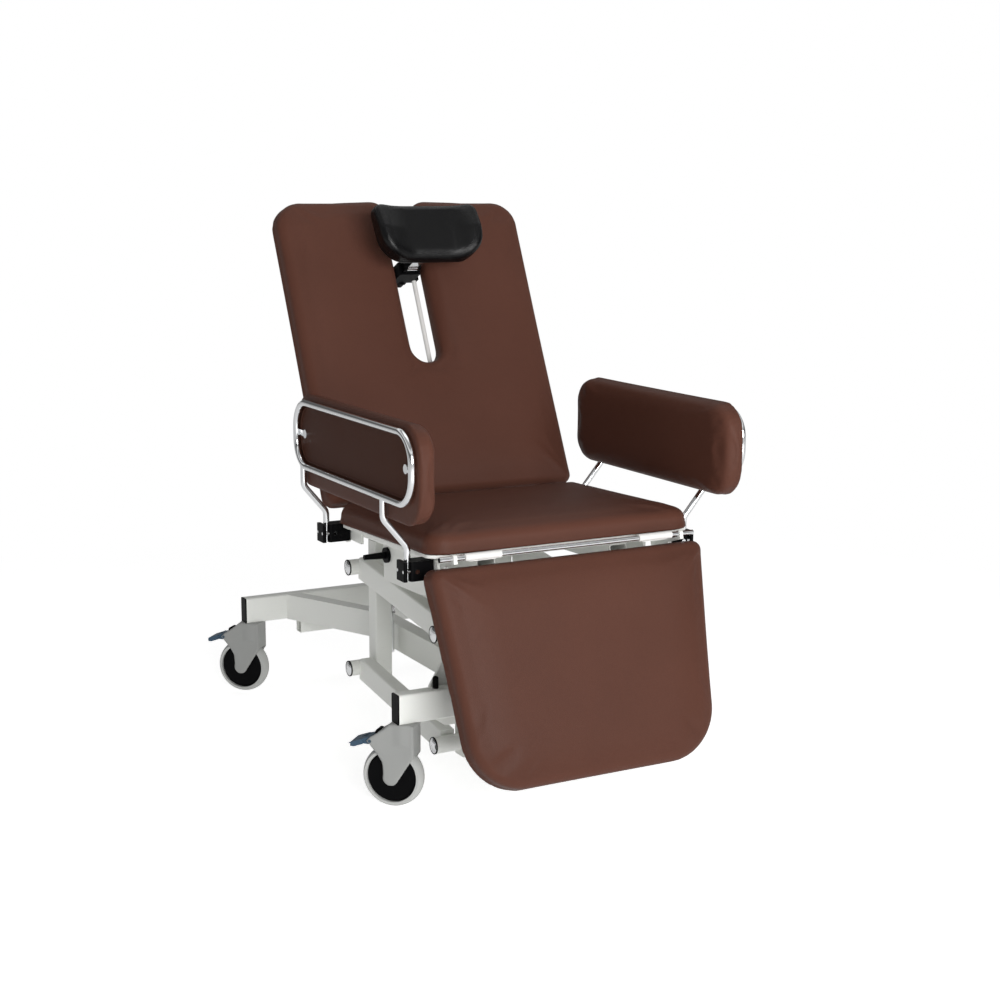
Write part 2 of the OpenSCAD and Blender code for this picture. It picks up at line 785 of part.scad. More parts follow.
module seat_beams() {
  x = spring_eye_w / 2 + seat_gap;
  q = [0, back_hinge_y + spring_y, back_hinge_z + spring_z];
  color("whitesmoke") {
    on_seat() {
      both() translate([post_x + post_d / 2, -seat_beam_l, -pan_t - rail_h - beam_h / 2])
        tube_y(seat_beam_l + post_y - seat_y + post_d / 2, post_d, beam_h);
      translate([0, q.y - seat_y, -pan_t - rail_h - beam_h + rail_h / 2]) tube_x(2 * post_x, rail_w, rail_h);
    }
    translate(q) {
      both() translate([x, 0, 0]) rotate([90, 0, 90]) linear_extrude(cheek_t) {
        circle(d = 2 * spring_pin_d);
        translate([-spring_pin_d, -rail_h]) square([2 * spring_pin_d, rail_h]);
      }
      bar_x(-x - cheek_t, 2 * (x + cheek_t), spring_pin_d);
    }
  }
}

module seat_frame() {
  z = -pan_t - rail_h / 2;
  slot = spring_d;
  color("whitesmoke") on_seat() {
    both() translate([rail_x + rail_w / 2, -cross_front - rail_w / 2, z])
      tube_y(cross_front + rail_w / 2 - cap_t, rail_w, rail_h);
    for (y = [cross_front, cross_front * 0.6]) translate([0, -y, z]) tube_x(2 * rail_x, rail_w, rail_h);
    both() translate([(slot + rail_x) / 2, -rail_w, z]) tube_x(rail_x - slot, rail_w, rail_h);
  }
}

module side_plates() {
  hinge_front = seat_y + 2 * over;
  hinge_r = back_hinge_y - hinge_front;
  hinge_drop = 37;
  tongue_l = 60;
  tongue_low = back_hinge_z - hinge_drop - hinge_r / 2;
  clamp_w = 68;
  cover_l = 253;
  cover_h = 82;
  cover_rear = 109;
  color("whitesmoke") both() {
    translate([plate_x, 0, 0]) rotate([90, 0, 90]) linear_extrude(plate_t) difference() {
      union() {
        link_plate([back_hinge_y, back_hinge_z], [back_hinge_y, back_hinge_z - hinge_drop], 2 * hinge_r);
        translate([hinge_front - tongue_l, tongue_low])
          square([tongue_l + hinge_r, seat_h - pan_t - seat_gap - tongue_low]);
        translate([leg_front_y + cheek_t, clamp_z]) round_rect(clamp_w, clamp_h, stem_d);
      }
      translate([back_hinge_y, back_hinge_z]) circle(d = hinge_stub_d + 2 * run_gap);
    }
    on_seat() translate([side_x, -cover_rear - cover_l, -pan_t - rail_h]) rotate([90, 0, 90])
      linear_extrude(plate_t) {
        translate([0, -cover_h / 2]) square([cover_l, cover_h / 2]);
        translate([cover_h, -cover_h]) square([cover_l - cover_h, cover_h]);
        intersection() {
          translate([0, -cover_h]) square([cover_h, cover_h]);
          translate([cover_h, 0]) circle(r = cover_h);
        }
      }
  }
}

module seat_pan() {
  color("whitesmoke") on_seat() translate([0, -pan_rear - pan_l / 2, -pan_t]) linear_extrude(pan_t)
    round_rect(pan_w, pan_l, rail_h);
}

module seat_pad() {
  w = pad_w / 2;
  l = seat_l / 2;
  front_r = seat_l * 0.1;
  rear_r = front_r / 2;
  points = outline([[-w, -l], [w, -l], [w, l], [-w, l]], [front_r, front_r, rear_r, rear_r], 6, 5, pad_tuck);
  color("saddlebrown") on_seat() translate([0, -l, seat_gap])
    pad(points, pad_w, seat_l, pad_rings(seat_t, seat_crown, seat_l));
}

// Clamps of the armrest legs

clamp_face = leg_x + over;
jaw_x = leg_x + leg_d / 2 + 2 * run_gap;
bolt_d = 6;
bolt_y = 12.5;
bolt_l = 34;
set_x = leg_x - stem_d;
set_d = 9;

module at_clamps() {
  both() for (y = [leg_front_y, leg_rear_y]) translate([0, y, clamp_z]) children();
}

module clamp_bodies() {
  x0 = plate_x + plate_t;
  color("black") at_clamps() difference() {
    translate([(x0 + clamp_face) / 2, 0, 0]) linear_extrude(clamp_h, center = true)
      round_rect(clamp_face - x0, clamp_d, clamp_r);
    translate([leg_x, 0, 0]) cylinder(h = clamp_h + 2 * over, d = leg_d + 2 * run_gap, center = true);
    for (y = [-bolt_y, bolt_y]) translate([0, y, 0]) bar_x(jaw_x + jaw_t - bolt_l, bolt_l, bolt_d);
    translate([set_x, -clamp_d / 2 - over, 0]) rotate([-90, 0, 0]) cylinder(h = bolt_y, d = bolt_d);
  }
}

module clamp_jaws() {
  color("black") at_clamps() difference() {
    translate([jaw_x + jaw_t / 2, 0, 0]) linear_extrude(clamp_h, center = true)
      round_rect(jaw_t, clamp_d, jaw_t / 3);
    for (y = [-bolt_y, bolt_y]) translate([0, y, 0]) bar_x(jaw_x - over, jaw_t + 2 * over, bolt_d);
  }
}

module clamp_screws() {
  color("silver") at_clamps() {
    for (y = [-bolt_y, bolt_y]) translate([0, y, 0]) bar_x(jaw_x + jaw_t - bolt_l, bolt_l, bolt_d);
    translate([set_x, -clamp_d / 2, 0]) rotate([-90, 0, 0]) {
      translate([0, 0, -cap_t]) cylinder(h = cap_t, d = set_d);
      cylinder(h = bolt_y - over, d = bolt_d);
    }
  }
}

handle_fwd = 132;
handle_below = 48;
handle_y = seat_y - handle_fwd;
handle_z = seat_h - handle_below;
handle_flange = 32;
handle_l = 53;
handle_d = 15;

module release_handle() {
  color("black") mirror([1, 0, 0]) translate([side_x + plate_t + seat_gap, handle_y, handle_z])
    rotate([0, 90, 0]) {
      cylinder(h = clamp_r, d = handle_flange);
      translate([0, 0, clamp_r]) cylinder(h = handle_l - clamp_r, d1 = handle_d, d2 = handle_d * 0.7);
    }
}

// Leg pad

module leg_hinge_rod() {
  color("silver") on_leg() bar_x(-leg_rod_l / 2, leg_rod_l, leg_rod_d);
}

module leg_sleeves() {
  tongue_t = 7;
  reach = sleeve_l - 2 * leg_rod_d;
  local_y = (leg_hinge_y - seat_y) * cos(seat_tilt) - (leg_hinge_z - seat_h) * sin(seat_tilt);
  color("white") both() difference() {
    union() {
      translate([0, leg_hinge_y, leg_hinge_z]) bar_x(sleeve_x, sleeve_l, sleeve_d);
      on_seat() translate([sleeve_x + leg_rod_d, local_y, -pan_t - tongue_t])
        cube([reach, -local_y - cross_front - rail_w / 2, tongue_t]);
    }
    translate([0, leg_hinge_y, leg_hinge_z])
      bar_x(sleeve_x - over, sleeve_l + 2 * over, leg_rod_d + 2 * run_gap);
  }
}

module leg_frame() {
  y0 = leg_t - leg_face + seat_gap;
  neck = leg_head / 2;
  color("whitesmoke") on_leg() {
    both() translate([lug_x, 0, 0]) rotate([90, 0, 90]) linear_extrude(lug_t) difference() {
      union() {
        circle(r = leg_rod_d * 0.7);
        polygon([[-leg_rod_d / 2, -neck / 2], [leg_rod_d / 2, -neck + over / 2], [y0 + leg_rail_t, -neck],
          [y0 + leg_rail_t, -3 * leg_rail_w], [y0, -3 * leg_rail_w], [y0, -leg_head + seat_gap],
          [-leg_rod_d / 2, -leg_head + seat_gap]]);
      }
      circle(d = leg_rod_d);
    }
    both() translate([leg_rail_x + leg_rail_w / 2, y0 + leg_rail_t / 2, -leg_rail_l - leg_rail_w])
      tube_z(leg_rail_l, leg_rail_w, leg_rail_t);
    translate([0, y0 + leg_rail_t / 2, -2 * leg_rail_w]) tube_x(2 * lug_x, leg_rail_t, leg_rail_w);
    translate([0, y0 + leg_rail_t / 2, -leg_rail_l]) tube_x(2 * leg_rail_x, leg_rail_t, leg_rail_w);
  }
}

module leg_pad() {
  w = leg_w / 2;
  f = foot_w / 2;
  l = leg_l / 2;
  crown = leg_t * 0.22;
  top_r = leg_w * 0.035;
  foot_r = foot_w * 0.19;
  points = outline([[-f, -l], [f, -l], [w, l], [-w, l]], [foot_r, foot_r, top_r, top_r], 7, 5, pad_tuck);
  color("saddlebrown") on_leg() translate([0, leg_t - leg_face, -leg_head - l]) rotate([90, 0, 0])
    pad(points, leg_w, leg_l, pad_rings(leg_t - crown, crown, leg_l));
}

// Back

// A flat link between two round ends, its sides a hair inside the ends' width
module link_plate(a, b, w) {
  v = b - a;
  side = w / 2 - run_gap;
  for (p = [a, b]) translate(p) circle(d = w);
  translate(a) rotate([0, 0, atan2(v.y, v.x)]) translate([0, -side]) square([norm(v), 2 * side]);
}

module back_frame() {
  y0 = back_t + seat_gap;
  x = spring_eye_w / 2 + seat_gap;
  crank = [spring_crank_y, spring_crank_z];
  color("whitesmoke") {
    on_back() {
      translate([0, back_face, -back_foot]) {
        bar_x(-back_rail_x - rail_h, 2 * (back_rail_x + rail_h), hinge_d);
        bar_x(-plate_x - plate_t, 2 * (plate_x + plate_t), hinge_stub_d);
      }
      both() {
        translate([back_rail_x + plate_t, 0, 0]) rotate([90, 0, 90]) linear_extrude(2 * plate_t) {
          link_plate([back_face, -back_foot], [y0 + back_rail_t / 2, -back_foot / 3], bracket_w);
          translate([y0 + over, -back_foot / 3]) square([back_rail_t - 2 * over, 3 * back_rail_w]);
        }
        translate([back_rail_x + back_rail_w / 2, y0 + back_rail_t / 2, back_rail_foot])
          tube_z(back_rail_l - back_rail_foot, back_rail_w, back_rail_t);
      }
      for (s = [slot_s / 2, guide_low - back_rail_w / 2, guide_high + back_rail_w / 2])
        translate([0, y0 + back_rail_t / 2, s]) tube_x(2 * back_rail_x, back_rail_t, back_rail_w);
    }
    translate([0, back_hinge_y, back_hinge_z]) {
      both() translate([x, 0, 0]) rotate([90, 0, 90]) linear_extrude(cheek_t)
        link_plate([0, 0], crank, 2 * spring_pin_d);
      translate([0, crank.x, crank.y]) bar_x(-x - cheek_t, 2 * (x + cheek_t), spring_pin_d);
    }
  }
}

module back_pad() {
  w = pad_w / 2;
  l = back_l / 2;
  crown = back_t * 0.2;
  top_r = pad_w * 0.105;
  foot_r = pad_w * 0.04;
  mouth_r = slot_w / 4;
  points = outline([[-w, -l], [w, -l], [w, l], [-w, l]], [foot_r, foot_r, top_r, top_r], 7, 5, pad_tuck);
  color("saddlebrown") on_back() translate([0, back_t, l - cap_t]) rotate([90, 0, 0]) difference() {
    pad(points, pad_w, back_l, pad_rings(back_t - crown, crown, pad_w));
    translate([0, 0, -over]) linear_extrude(back_t + crown) {
      translate([0, slot_s + slot_w / 2 - l]) circle(d = slot_w);
      translate([-slot_w / 2, slot_s + slot_w / 2 - l]) square([slot_w, back_l]);
      difference() {
        translate([-slot_w / 2 - mouth_r, l - mouth_r]) square([slot_w + 2 * mouth_r, 2 * mouth_r]);
        for (x = [-1, 1]) translate([x * (slot_w / 2 + mouth_r), l - mouth_r]) circle(r = mouth_r);
      }
    }
  }
}

module back_spring_body() {
  color("black") on_spring() difference() {
    union() {
      rotate([90, 0, 0]) cylinder(h = spring_eye_w, d = spring_d, center = true);
      bar_x(0, spring_body_l, spring_d);
    }
    rotate([90, 0, 0]) cylinder(h = spring_d + 2 * over, d = spring_pin_d + 2 * run_gap, center = true);
    bar_x(spring_eye_w, spring_body_l, spring_rod_d + 2 * run_gap);
    for (y = [-spring_d, spring_eye_w / 2]) translate([-spring_eye_w, y, -spring_d])
      cube([spring_eye_w * 1.9, spring_d - spring_eye_w / 2, 2 * spring_d]);
  }
}

module back_spring_rod() {
  eye_d = spring_pin_d + 2 * spring_play;
  color("silver") on_spring() difference() {
    union() {
      bar_x(spring_rod_in, spring_l - spring_rod_in, spring_rod_d);
      translate([spring_l, 0, 0]) rotate([90, 0, 0])
        cylinder(h = spring_eye_w, d = spring_eye_d, center = true);
    }
    translate([spring_l, 0, 0]) rotate([90, 0, 0])
      cylinder(h = spring_eye_w + 2 * over, d = eye_d, center = true);
  }
}

// Headrest

module headrest_rods() {
  color("white") on_back() for (x = [-guide_x, guide_x])
    translate([x, guide_t, guide_low]) cylinder(h = guide_high - guide_low, d = guide_d);
}

module headrest_slider() {
  ear_t = 7;
  ear_x = slide_w / 4;
  rear_w = 2 * guide_x + 2 * guide_d - cheek_t;
  rear = guide_t + guide_d / 2 + cheek_t;
  color("black") on_back() difference() {
    union() {
      translate([-slide_w / 2, slide_face, slide_s - slide_h / 2]) cube([slide_w, rear - slide_face, slide_h]);
      translate([-rear_w / 2, back_t + seat_gap, slide_s - slide_h / 2])
        cube([rear_w, rear - back_t - seat_gap, slide_h]);
      both() translate([ear_x, head_pivot_t, head_pivot_s]) rotate([90, 0, 90]) linear_extrude(ear_t) {
        circle(d = slide_h * 0.7);
        translate([0, -slide_h * 0.35]) square([slide_face - head_pivot_t, slide_h * 0.7]);
      }
      translate([0, head_pivot_t, head_pivot_s]) bar_x(-ear_x - ear_t, 2 * (ear_x + ear_t), spring_pin_d);
    }
    for (x = [-guide_x, guide_x]) translate([x, guide_t, slide_s - slide_h])
      cylinder(h = 2 * slide_h, d = guide_d + 2 * run_gap);
    translate([0, rear - stem_d, slide_s]) rotate([-90, 0, 0])
      cylinder(h = 2 * stem_d, d = spring_pin_d + 2 * run_gap);
  }
}

module headrest_knob() {
  rear = guide_t + guide_d / 2 + cheek_t;
  knob_d = 38;
  knob_l = 18;
  lobes = 6;
  color("black") on_back() translate([0, rear, slide_s]) rotate([-90, 0, 0]) {
    translate([0, 0, over - stem_d]) cylinder(h = stem_d + over, d = spring_pin_d);
    translate([0, 0, seat_gap]) linear_extrude(knob_l) difference() {
      circle(d = knob_d);
      for (i = [0:lobes - 1]) rotate([0, 0, 360 * i / lobes]) translate([knob_d * 0.58, 0]) circle(d = knob_d / 3);
    }
  }
}

module headrest_arm() {
  w = slide_w / 2 - 2 * seat_gap;
  back = head_t - head_front;
  plate_w = head_w / 2;
  plate_h = head_h / 2;
  rise = head_s - head_pivot_s;
  color("silver") on_back() {
    translate([-w / 2, head_pivot_t, head_pivot_s]) rotate([90, 0, 90]) linear_extrude(w) difference() {
      union() {
        circle(d = slide_h * 0.7);
        link_plate([0, 0], [-cheek_t - slide_h, 0], slide_h * 0.4);
        link_plate([-cheek_t - slide_h, 0], [back + cheek_t - head_pivot_t + slide_h / 6, rise / 2],
          slide_h * 0.4);
      }
      circle(d = spring_pin_d + 2 * run_gap);
    }
    translate([0, back + cheek_t, head_s]) rotate([90, 0, 0]) linear_extrude(cheek_t)
      round_rect(plate_w, plate_h, cheek_t);
  }
}

// Cross-section of the headrest: a hollowed face between two lobes, width w and depth d
function head_face(u) = 0.66 + 0.34 * pow(abs(u), 1.6) - 0.9 * pow(abs(u), 9);
function head_ring(w, d, n) = concat(
  [for (i = [0:n]) let (u = 2 * i / n - 1) [u * w / 2, -d * (abs(u) == 1 ? 0.1 : head_face(u))]],
  [for (i = [1:n - 1]) let (u = 1 - 2 * i / n) [u * w / 2 * 0.98, 0]]);
head_shares = [[0, 0.72, 0.45], [0.04, 0.86, 0.68], [0.14, 0.96, 0.88], [0.32, 1, 1], [0.5, 1, 1],
  [0.68, 1, 1], [0.86, 0.96, 0.88], [0.96, 0.86, 0.68], [1, 0.72, 0.45]];

module headrest_pad() {
  rings = [for (s = head_shares) [for (p = head_ring(head_w * s[1], head_t * s[2], 16))
    [p.x, p.y, head_h * (s[0] - 0.5)]]];
  color("black") on_back() translate([0, head_t - head_front - seat_gap, head_s]) loft(rings);
}

// Armrests

module tube_loop(l, h, r, d) {
  for (s = [-1, 1]) {
    translate([0, s * h / 2, 0]) bar_x(r - l / 2, l - 2 * r, d);
    translate([s * l / 2, r - h / 2, 0]) rotate([-90, 0, 0]) cylinder(h = h - 2 * r, d = d);
  }
  for (i = [0:3]) {
    sx = i == 0 || i == 3 ? 1 : -1;
    sy = i < 2 ? 1 : -1;
    translate([sx * (l / 2 - r), sy * (h / 2 - r), 0]) rotate([0, 0, 90 * i])
      rotate_extrude(angle = 90) translate([r, 0]) circle(d = d);
  }
}

module armrest() {
  $fn = 28;
  bottom = loop_z - loop_h / 2;
  tab = loop_l / 2 - 2 * fix_d;
  color("silver") {
    translate([loop_x, loop_y, loop_z]) rotate([90, 0, 90]) tube_loop(loop_l, loop_h, loop_r, rail_d);
    for (y = [leg_front_y, leg_rear_y]) translate([0, y, 0]) rotate([90, 0, 0]) bent_tube([
      [leg_x, leg_low_z], [leg_x, leg_bend_z], [loop_x, leg_out_z], [loop_x, bottom]], leg_bend_r, leg_d);
    for (s = [-1, 1]) translate([rest_x + rest_t + seat_gap, loop_y + s * tab, loop_z]) {
      bar_x(0, cap_t + over, fix_d);
      translate([0, s > 0 ? 0 : -2 * fix_d, -fix_d / 3]) cube([cap_t, 2 * fix_d, fix_d / 1.5]);
    }
  }
}

rest_shares = [[1.5, 0], [0.7, 0.03], [0.3, 0.09], [0.08, 0.22], [0, 0.4], [0, 0.6], [0.08, 0.78],
  [0.3, 0.91], [0.7, 0.97], [1.5, 1]];

module armrest_pad() {
  l = rest_l / 2;
  h = rest_h / 2;
  points = outline([[-l, -h], [l, -h], [l, h], [-l, h]], [rest_r, rest_r, rest_r, rest_r], 7, 5, pad_tuck / 2);
  color("saddlebrown") translate([rest_x, rest_y, rest_z]) rotate([90, 0, 90])
    pad(points, rest_l, rest_h, [for (s = rest_shares) [s[0] * rest_t, s[1] * rest_t]]);
}

module armrest_left() { armrest(); }
module armrest_right() { mirror([1, 0, 0]) armrest(); }
module armrest_pad_left() { armrest_pad(); }
module armrest_pad_right() { mirror([1, 0, 0]) armrest_pad(); }

base_front_tube();
base_rear_tube();
base_beams();
front_uprights();
tube_end_caps();
rubber_buffers();
front_pivot_pins();
lift_bracket();
castor_fork_fl();
castor_fork_fr();
castor_fork_rl();
castor_fork_rr();
castor_core_fl();
castor_core_fr();
castor_core_rl();
castor_core_rr();
castor_tyre_fl();
castor_tyre_fr();
castor_tyre_rl();
castor_tyre_rr();
castor_pedal_fl();
castor_pedal_fr();
castor_pedal_rl();
castor_pedal_rr();
lower_arms();
upper_arms();
lift_actuator();
lift_motor();
lift_rod();
rear_posts();
rear_pivot_pins();
seat_beams();
seat_frame();
side_plates();
seat_pan();
seat_pad();
stop_rods();
clamp_bodies();
clamp_jaws();
clamp_screws();
release_handle();
leg_hinge_rod();
leg_sleeves();
leg_frame();
leg_pad();
back_frame();
back_pad();
back_spring_body();
back_spring_rod();
headrest_rods();
headrest_slider();
headrest_knob();
headrest_arm();
headrest_pad();
armrest_left();
armrest_right();
armrest_pad_left();
armrest_pad_right();
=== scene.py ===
"""Ear, nose and throat examination chair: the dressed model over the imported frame.

Lengths are metres in the frame's own axes: +X to the patient's left, +Y to the back, +Z up.
"""
import json
import logging
import math
from collections.abc import Callable, Iterable, Sequence
from dataclasses import dataclass
from enum import Enum

import bmesh
import bpy
import numpy as np
from mathutils import Matrix, Vector
from mathutils.bvhtree import BVHTree


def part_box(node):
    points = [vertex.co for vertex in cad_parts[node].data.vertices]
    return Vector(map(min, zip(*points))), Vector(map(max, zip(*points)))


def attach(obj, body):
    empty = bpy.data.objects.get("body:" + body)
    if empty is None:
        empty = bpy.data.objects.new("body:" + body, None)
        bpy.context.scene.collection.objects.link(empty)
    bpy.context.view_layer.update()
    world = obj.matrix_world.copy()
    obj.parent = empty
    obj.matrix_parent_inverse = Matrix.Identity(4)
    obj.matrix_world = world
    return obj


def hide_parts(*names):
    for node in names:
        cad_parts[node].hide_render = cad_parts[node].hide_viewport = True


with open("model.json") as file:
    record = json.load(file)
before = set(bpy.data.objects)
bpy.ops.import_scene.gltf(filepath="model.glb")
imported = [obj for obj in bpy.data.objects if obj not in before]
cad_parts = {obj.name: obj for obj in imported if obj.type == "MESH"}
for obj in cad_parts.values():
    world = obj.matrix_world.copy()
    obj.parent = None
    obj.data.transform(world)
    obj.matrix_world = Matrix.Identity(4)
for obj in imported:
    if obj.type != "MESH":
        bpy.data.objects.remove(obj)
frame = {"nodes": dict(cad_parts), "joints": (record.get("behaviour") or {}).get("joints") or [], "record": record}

LOG = logging.getLogger("chair")
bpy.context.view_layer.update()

MM = 0.001
BACK_LEAN = math.radians(25.3)
LEG_LEAN = math.radians(18.0)
SEAT_SLOPE = math.radians(2.0)
SEAT_REAR = Vector((0, -21 * MM, -9 * MM))  # from the back's hinge to the seat board's rear edge
WHITE = (1.0, 1.0, 1.0, 1.0)

Pair = tuple[float, float]
Colour = tuple[float, float, float]
JOINTS: dict[str, dict] = {j["name"]: j for j in frame["joints"]}


class Side(Enum):
    """The patient's two sides, by the sign of X."""

    LEFT = 1
    RIGHT = -1


class Corner(Enum):
    """Where a castor stands, as the names of its joints and bodies end."""

    FRONT_LEFT = "fl"
    FRONT_RIGHT = "fr"
    REAR_LEFT = "rl"
    REAR_RIGHT = "rr"


def joint_place(name: str) -> Vector:
    """A joint's pivot.

    Args:
        name: The joint's name in the record.

    Returns:
        Its place at rest.
    """
    return Vector(JOINTS[name]["pos_m"])


def box_of(node: str) -> tuple[Vector, Vector]:
    """A CAD node's box.

    Args:
        node: The node's name.

    Returns:
        Its lowest and highest corners.
    """
    low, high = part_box(node)
    return Vector(low), Vector(high)


def middle_of(node: str) -> Vector:
    """The middle of a CAD node's box.

    Args:
        node: The node's name.

    Returns:
        The point half way between its corners.
    """
    low, high = box_of(node)
    return (low + high) / 2


def frame_matrix(origin: Vector, across: Vector, along: Vector, out: Vector) -> Matrix:
    """The matrix that takes a local frame's points to the chair's frame.

    Args:
        origin: The local frame's origin.
        across: Its first axis.
        along: Its second axis.
        out: Its third axis.

    Returns:
        A 4x4 matrix.
    """
    return Matrix.Translation(origin) @ Matrix((across, along, out)).transposed().to_4x4()


@dataclass(frozen=True)
class Place:
    """A local frame: its origin and two axes; the third axis points out of their plane."""

    origin: Vector
    across: Vector
    along: Vector

    @property
    def out(self) -> Vector:
        """The axis square to across and along."""
        return self.across.cross(self.along)

    def at(self, x: float, y: float, z: float = 0.0) -> Vector:
        """A local point in the chair's frame.

        Args:
            x: Distance across.
            y: Distance along.
            z: Distance out.

        Returns:
            The point.
        """
        return self.origin + self.across * x + self.along * y + self.out * z

    def moved(self, x: float, y: float, z: float = 0.0) -> "Place":
        """The same axes at another local point.

        Args:
            x: Distance across.
            y: Distance along.
            z: Distance out.

        Returns:
            The moved place.
        """
        return Place(self.at(x, y, z), self.across, self.along)

    def matrix(self) -> Matrix:
        """The matrix that takes local points to the chair's frame."""
        return frame_matrix(self.origin, self.across, self.along, self.out)


X, Y, Z = Vector((1, 0, 0)), Vector((0, 1, 0)), Vector((0, 0, 1))
BENCH = Place(Vector((0, 0, 0)), X, Y)  # where a small shape is made before it is repeated


def leaned(origin: Vector, lean: float) -> Place:
    """A place whose along axis leans back from upright and whose out axis faces forward.

    Args:
        origin: The hinge that it starts from.
        lean: The lean from upright, in radians.

    Returns:
        The place.
    """
    return Place(origin, X, Vector((0, math.sin(lean), math.cos(lean))))


BACK = leaned(joint_place("recline"), BACK_LEAN)
LEG = leaned(joint_place("leg_raise"), LEG_LEAN)
SEAT = Place(joint_place("recline") + SEAT_REAR, X, Vector((0, math.cos(SEAT_SLOPE), -math.sin(SEAT_SLOPE))))


# Shader graphs

class Graph:
    """A thin wrapper that adds and links the nodes of one shader tree."""

    COLOUR_MIX = (0, 6, 7)  # the Mix node's share and its two colours, among the sockets of every type

    def __init__(self, tree: bpy.types.NodeTree) -> None:
        """Keeps the tree.

        Args:
            tree: The material's or group's node tree.
        """
        self.tree = tree

    def add(self, kind: str, settings: dict | None = None, **inputs: object) -> bpy.types.Node:
        """Adds a node.

        Args:
            kind: The node's type without its ShaderNode prefix, or a full identifier.
            settings: Attributes of the node.
            **inputs: Values or sockets for its inputs: a name with underscores for its spaces, or an
                underscore and the input's number.

        Returns:
            The node.
        """
        name = kind if kind.startswith(("ShaderNode", "NodeGroup")) else "ShaderNode" + kind
        node = self.tree.nodes.new(name)
        for key, value in (settings or {}).items():
            setattr(node, key, value)
        for key, value in inputs.items():
            socket = int(key[1:]) if key[1:].isdigit() else key.replace("_", " ")
            self.plug(node.inputs[socket], value)
        return node

    def plug(self, socket: bpy.types.NodeSocket, value: object) -> None:
        """Links a socket to an input, or sets the input's value.

        Args:
            socket: The input.
            value: An output socket, or a plain value.
        """
        if isinstance(value, bpy.types.NodeSocket):
            self.tree.links.new(value, socket)
        else:
            socket.default_value = value

    def math(self, operation: str, a: object, b: object = 0.0, clamp: bool = False) -> bpy.types.NodeSocket:
        """A math node.

        Args:
            operation: The node's operation.
            a: Its first value.
            b: Its second value.
            clamp: Whether the result stays from 0 to 1.

        Returns:
            The result's socket.
        """
        return self.add("Math", {"operation": operation, "use_clamp": clamp}, _0=a, _1=b).outputs[0]

    def times(self, a: object, b: object) -> bpy.types.NodeSocket:
        """One value times another."""
        return self.math("MULTIPLY", a, b)

    def plus(self, a: object, b: object) -> bpy.types.NodeSocket:
        """One value plus another."""
        return self.math("ADD", a, b)

    def noise(self, scale: object, detail: float = 3.0, where: object = None) -> bpy.types.NodeSocket:
        """A noise texture's value.

        Args:
            scale: Features for each metre.
            detail: Its octaves.
            where: The coordinates' socket, or None for the object's own.

        Returns:
            The value's socket.
        """
        place = where if where is not None else self.place()
        return self.add("TexNoise", None, Vector=place, Scale=scale, Detail=detail).outputs[0]

    def place(self) -> bpy.types.NodeSocket:
        """The object's own coordinates."""
        return self.add("TexCoord").outputs["Object"]

    def stored(self, name: str) -> bpy.types.NodeSocket:
        """A value that the mesh holds on its vertices."""
        return self.add("Attribute", {"attribute_name": name}).outputs["Fac"]

    def ramp(self, value: object, stops: Sequence[Pair]) -> bpy.types.NodeSocket:
        """A grey ramp.

        Args:
            value: The input's socket.
            stops: Pairs of position and grey level.

        Returns:
            The ramp's output socket.
        """
        node = self.add("ValToRGB", None, Fac=value)
        points = node.color_ramp.elements
        while len(points) < len(stops):
            points.new(0.5)
        for point, (at, level) in zip(points, stops):
            point.position = at
            point.color = (level, level, level, 1)
        return node.outputs[0]

    def mix(self, share: object, a: object, b: object) -> bpy.types.NodeSocket:
        """A mix of two colours.

        Args:
            share: The second colour's share.
            a: The first colour.
            b: The second colour.

        Returns:
            The mix's socket.
        """
        node = self.add("Mix", {"data_type": "RGBA"})
        for socket, value in zip(self.COLOUR_MIX, (share, a, b)):
            self.plug(node.inputs[socket], value)
        return node.outputs[2]


def shader_group(name: str, inputs: dict[str, float], outputs: Sequence[str],
                 fill: Callable[[Graph, bpy.types.Node], dict[str, object]]) -> bpy.types.NodeTree:
    """A group of shader nodes that several materials share.

    Args:
        name: The group's name.
        inputs: Its float inputs with their defaults.
        outputs: Its float outputs.
        fill: Makes the nodes and returns a socket for each output.

    Returns:
        The group.
    """
    tree = bpy.data.node_groups.new(name, "ShaderNodeTree")
    for key, value in inputs.items():
        tree.interface.new_socket(key, in_out="INPUT", socket_type="NodeSocketFloat").default_value = value
    for key in outputs:
        tree.interface.new_socket(key, in_out="OUTPUT", socket_type="NodeSocketFloat")
    graph = Graph(tree)
    made = fill(graph, tree.nodes.new("NodeGroupInput"))
    end = tree.nodes.new("NodeGroupOutput")
    for key, socket in made.items():
        graph.plug(end.inputs[key], socket)
    return tree


@dataclass(frozen=True)
class Pebbles:
    """Leatherette's grain: soft cells of uneven size, with fine creases between them."""

    bend_scale: float = 130.0
    bend: float = 4 * MM
    softness: float = 0.35
    fine_scale: float = 2600.0
    fine_share: float = 0.25
    crease_shade_gain: float = 1.3

    def fill(self, g: Graph, given: bpy.types.Node) -> dict[str, object]:
        """Makes the group's nodes.

        Args:
            g: The group's graph.
            given: The group's inputs.

        Returns:
            The sockets of its Height, and of the mask that paints shade into the grain's creases.
        """
        place = g.place()
        bent = g.add("TexNoise", None, Vector=place, Scale=self.bend_scale, Detail=2.0).outputs["Color"]
        moved = g.add("VectorMath", {"operation": "MULTIPLY_ADD"}, _0=bent, _1=(self.bend,) * 3, _2=place).outputs[0]
        cells = g.add("TexVoronoi", {"feature": "SMOOTH_F1"}, Vector=moved, Scale=given.outputs["Pebbles"],
                      Smoothness=self.softness).outputs["Distance"]
        fine = g.times(g.noise(self.fine_scale, 2.0, place), self.fine_share)
        return {"Height": g.plus(g.math("SUBTRACT", 1.0, cells), fine),
                # The second output is the mask for painted shade in the creases between cells.
                "Crease": g.math("MULTIPLY", cells, self.crease_shade_gain, clamp=True)}


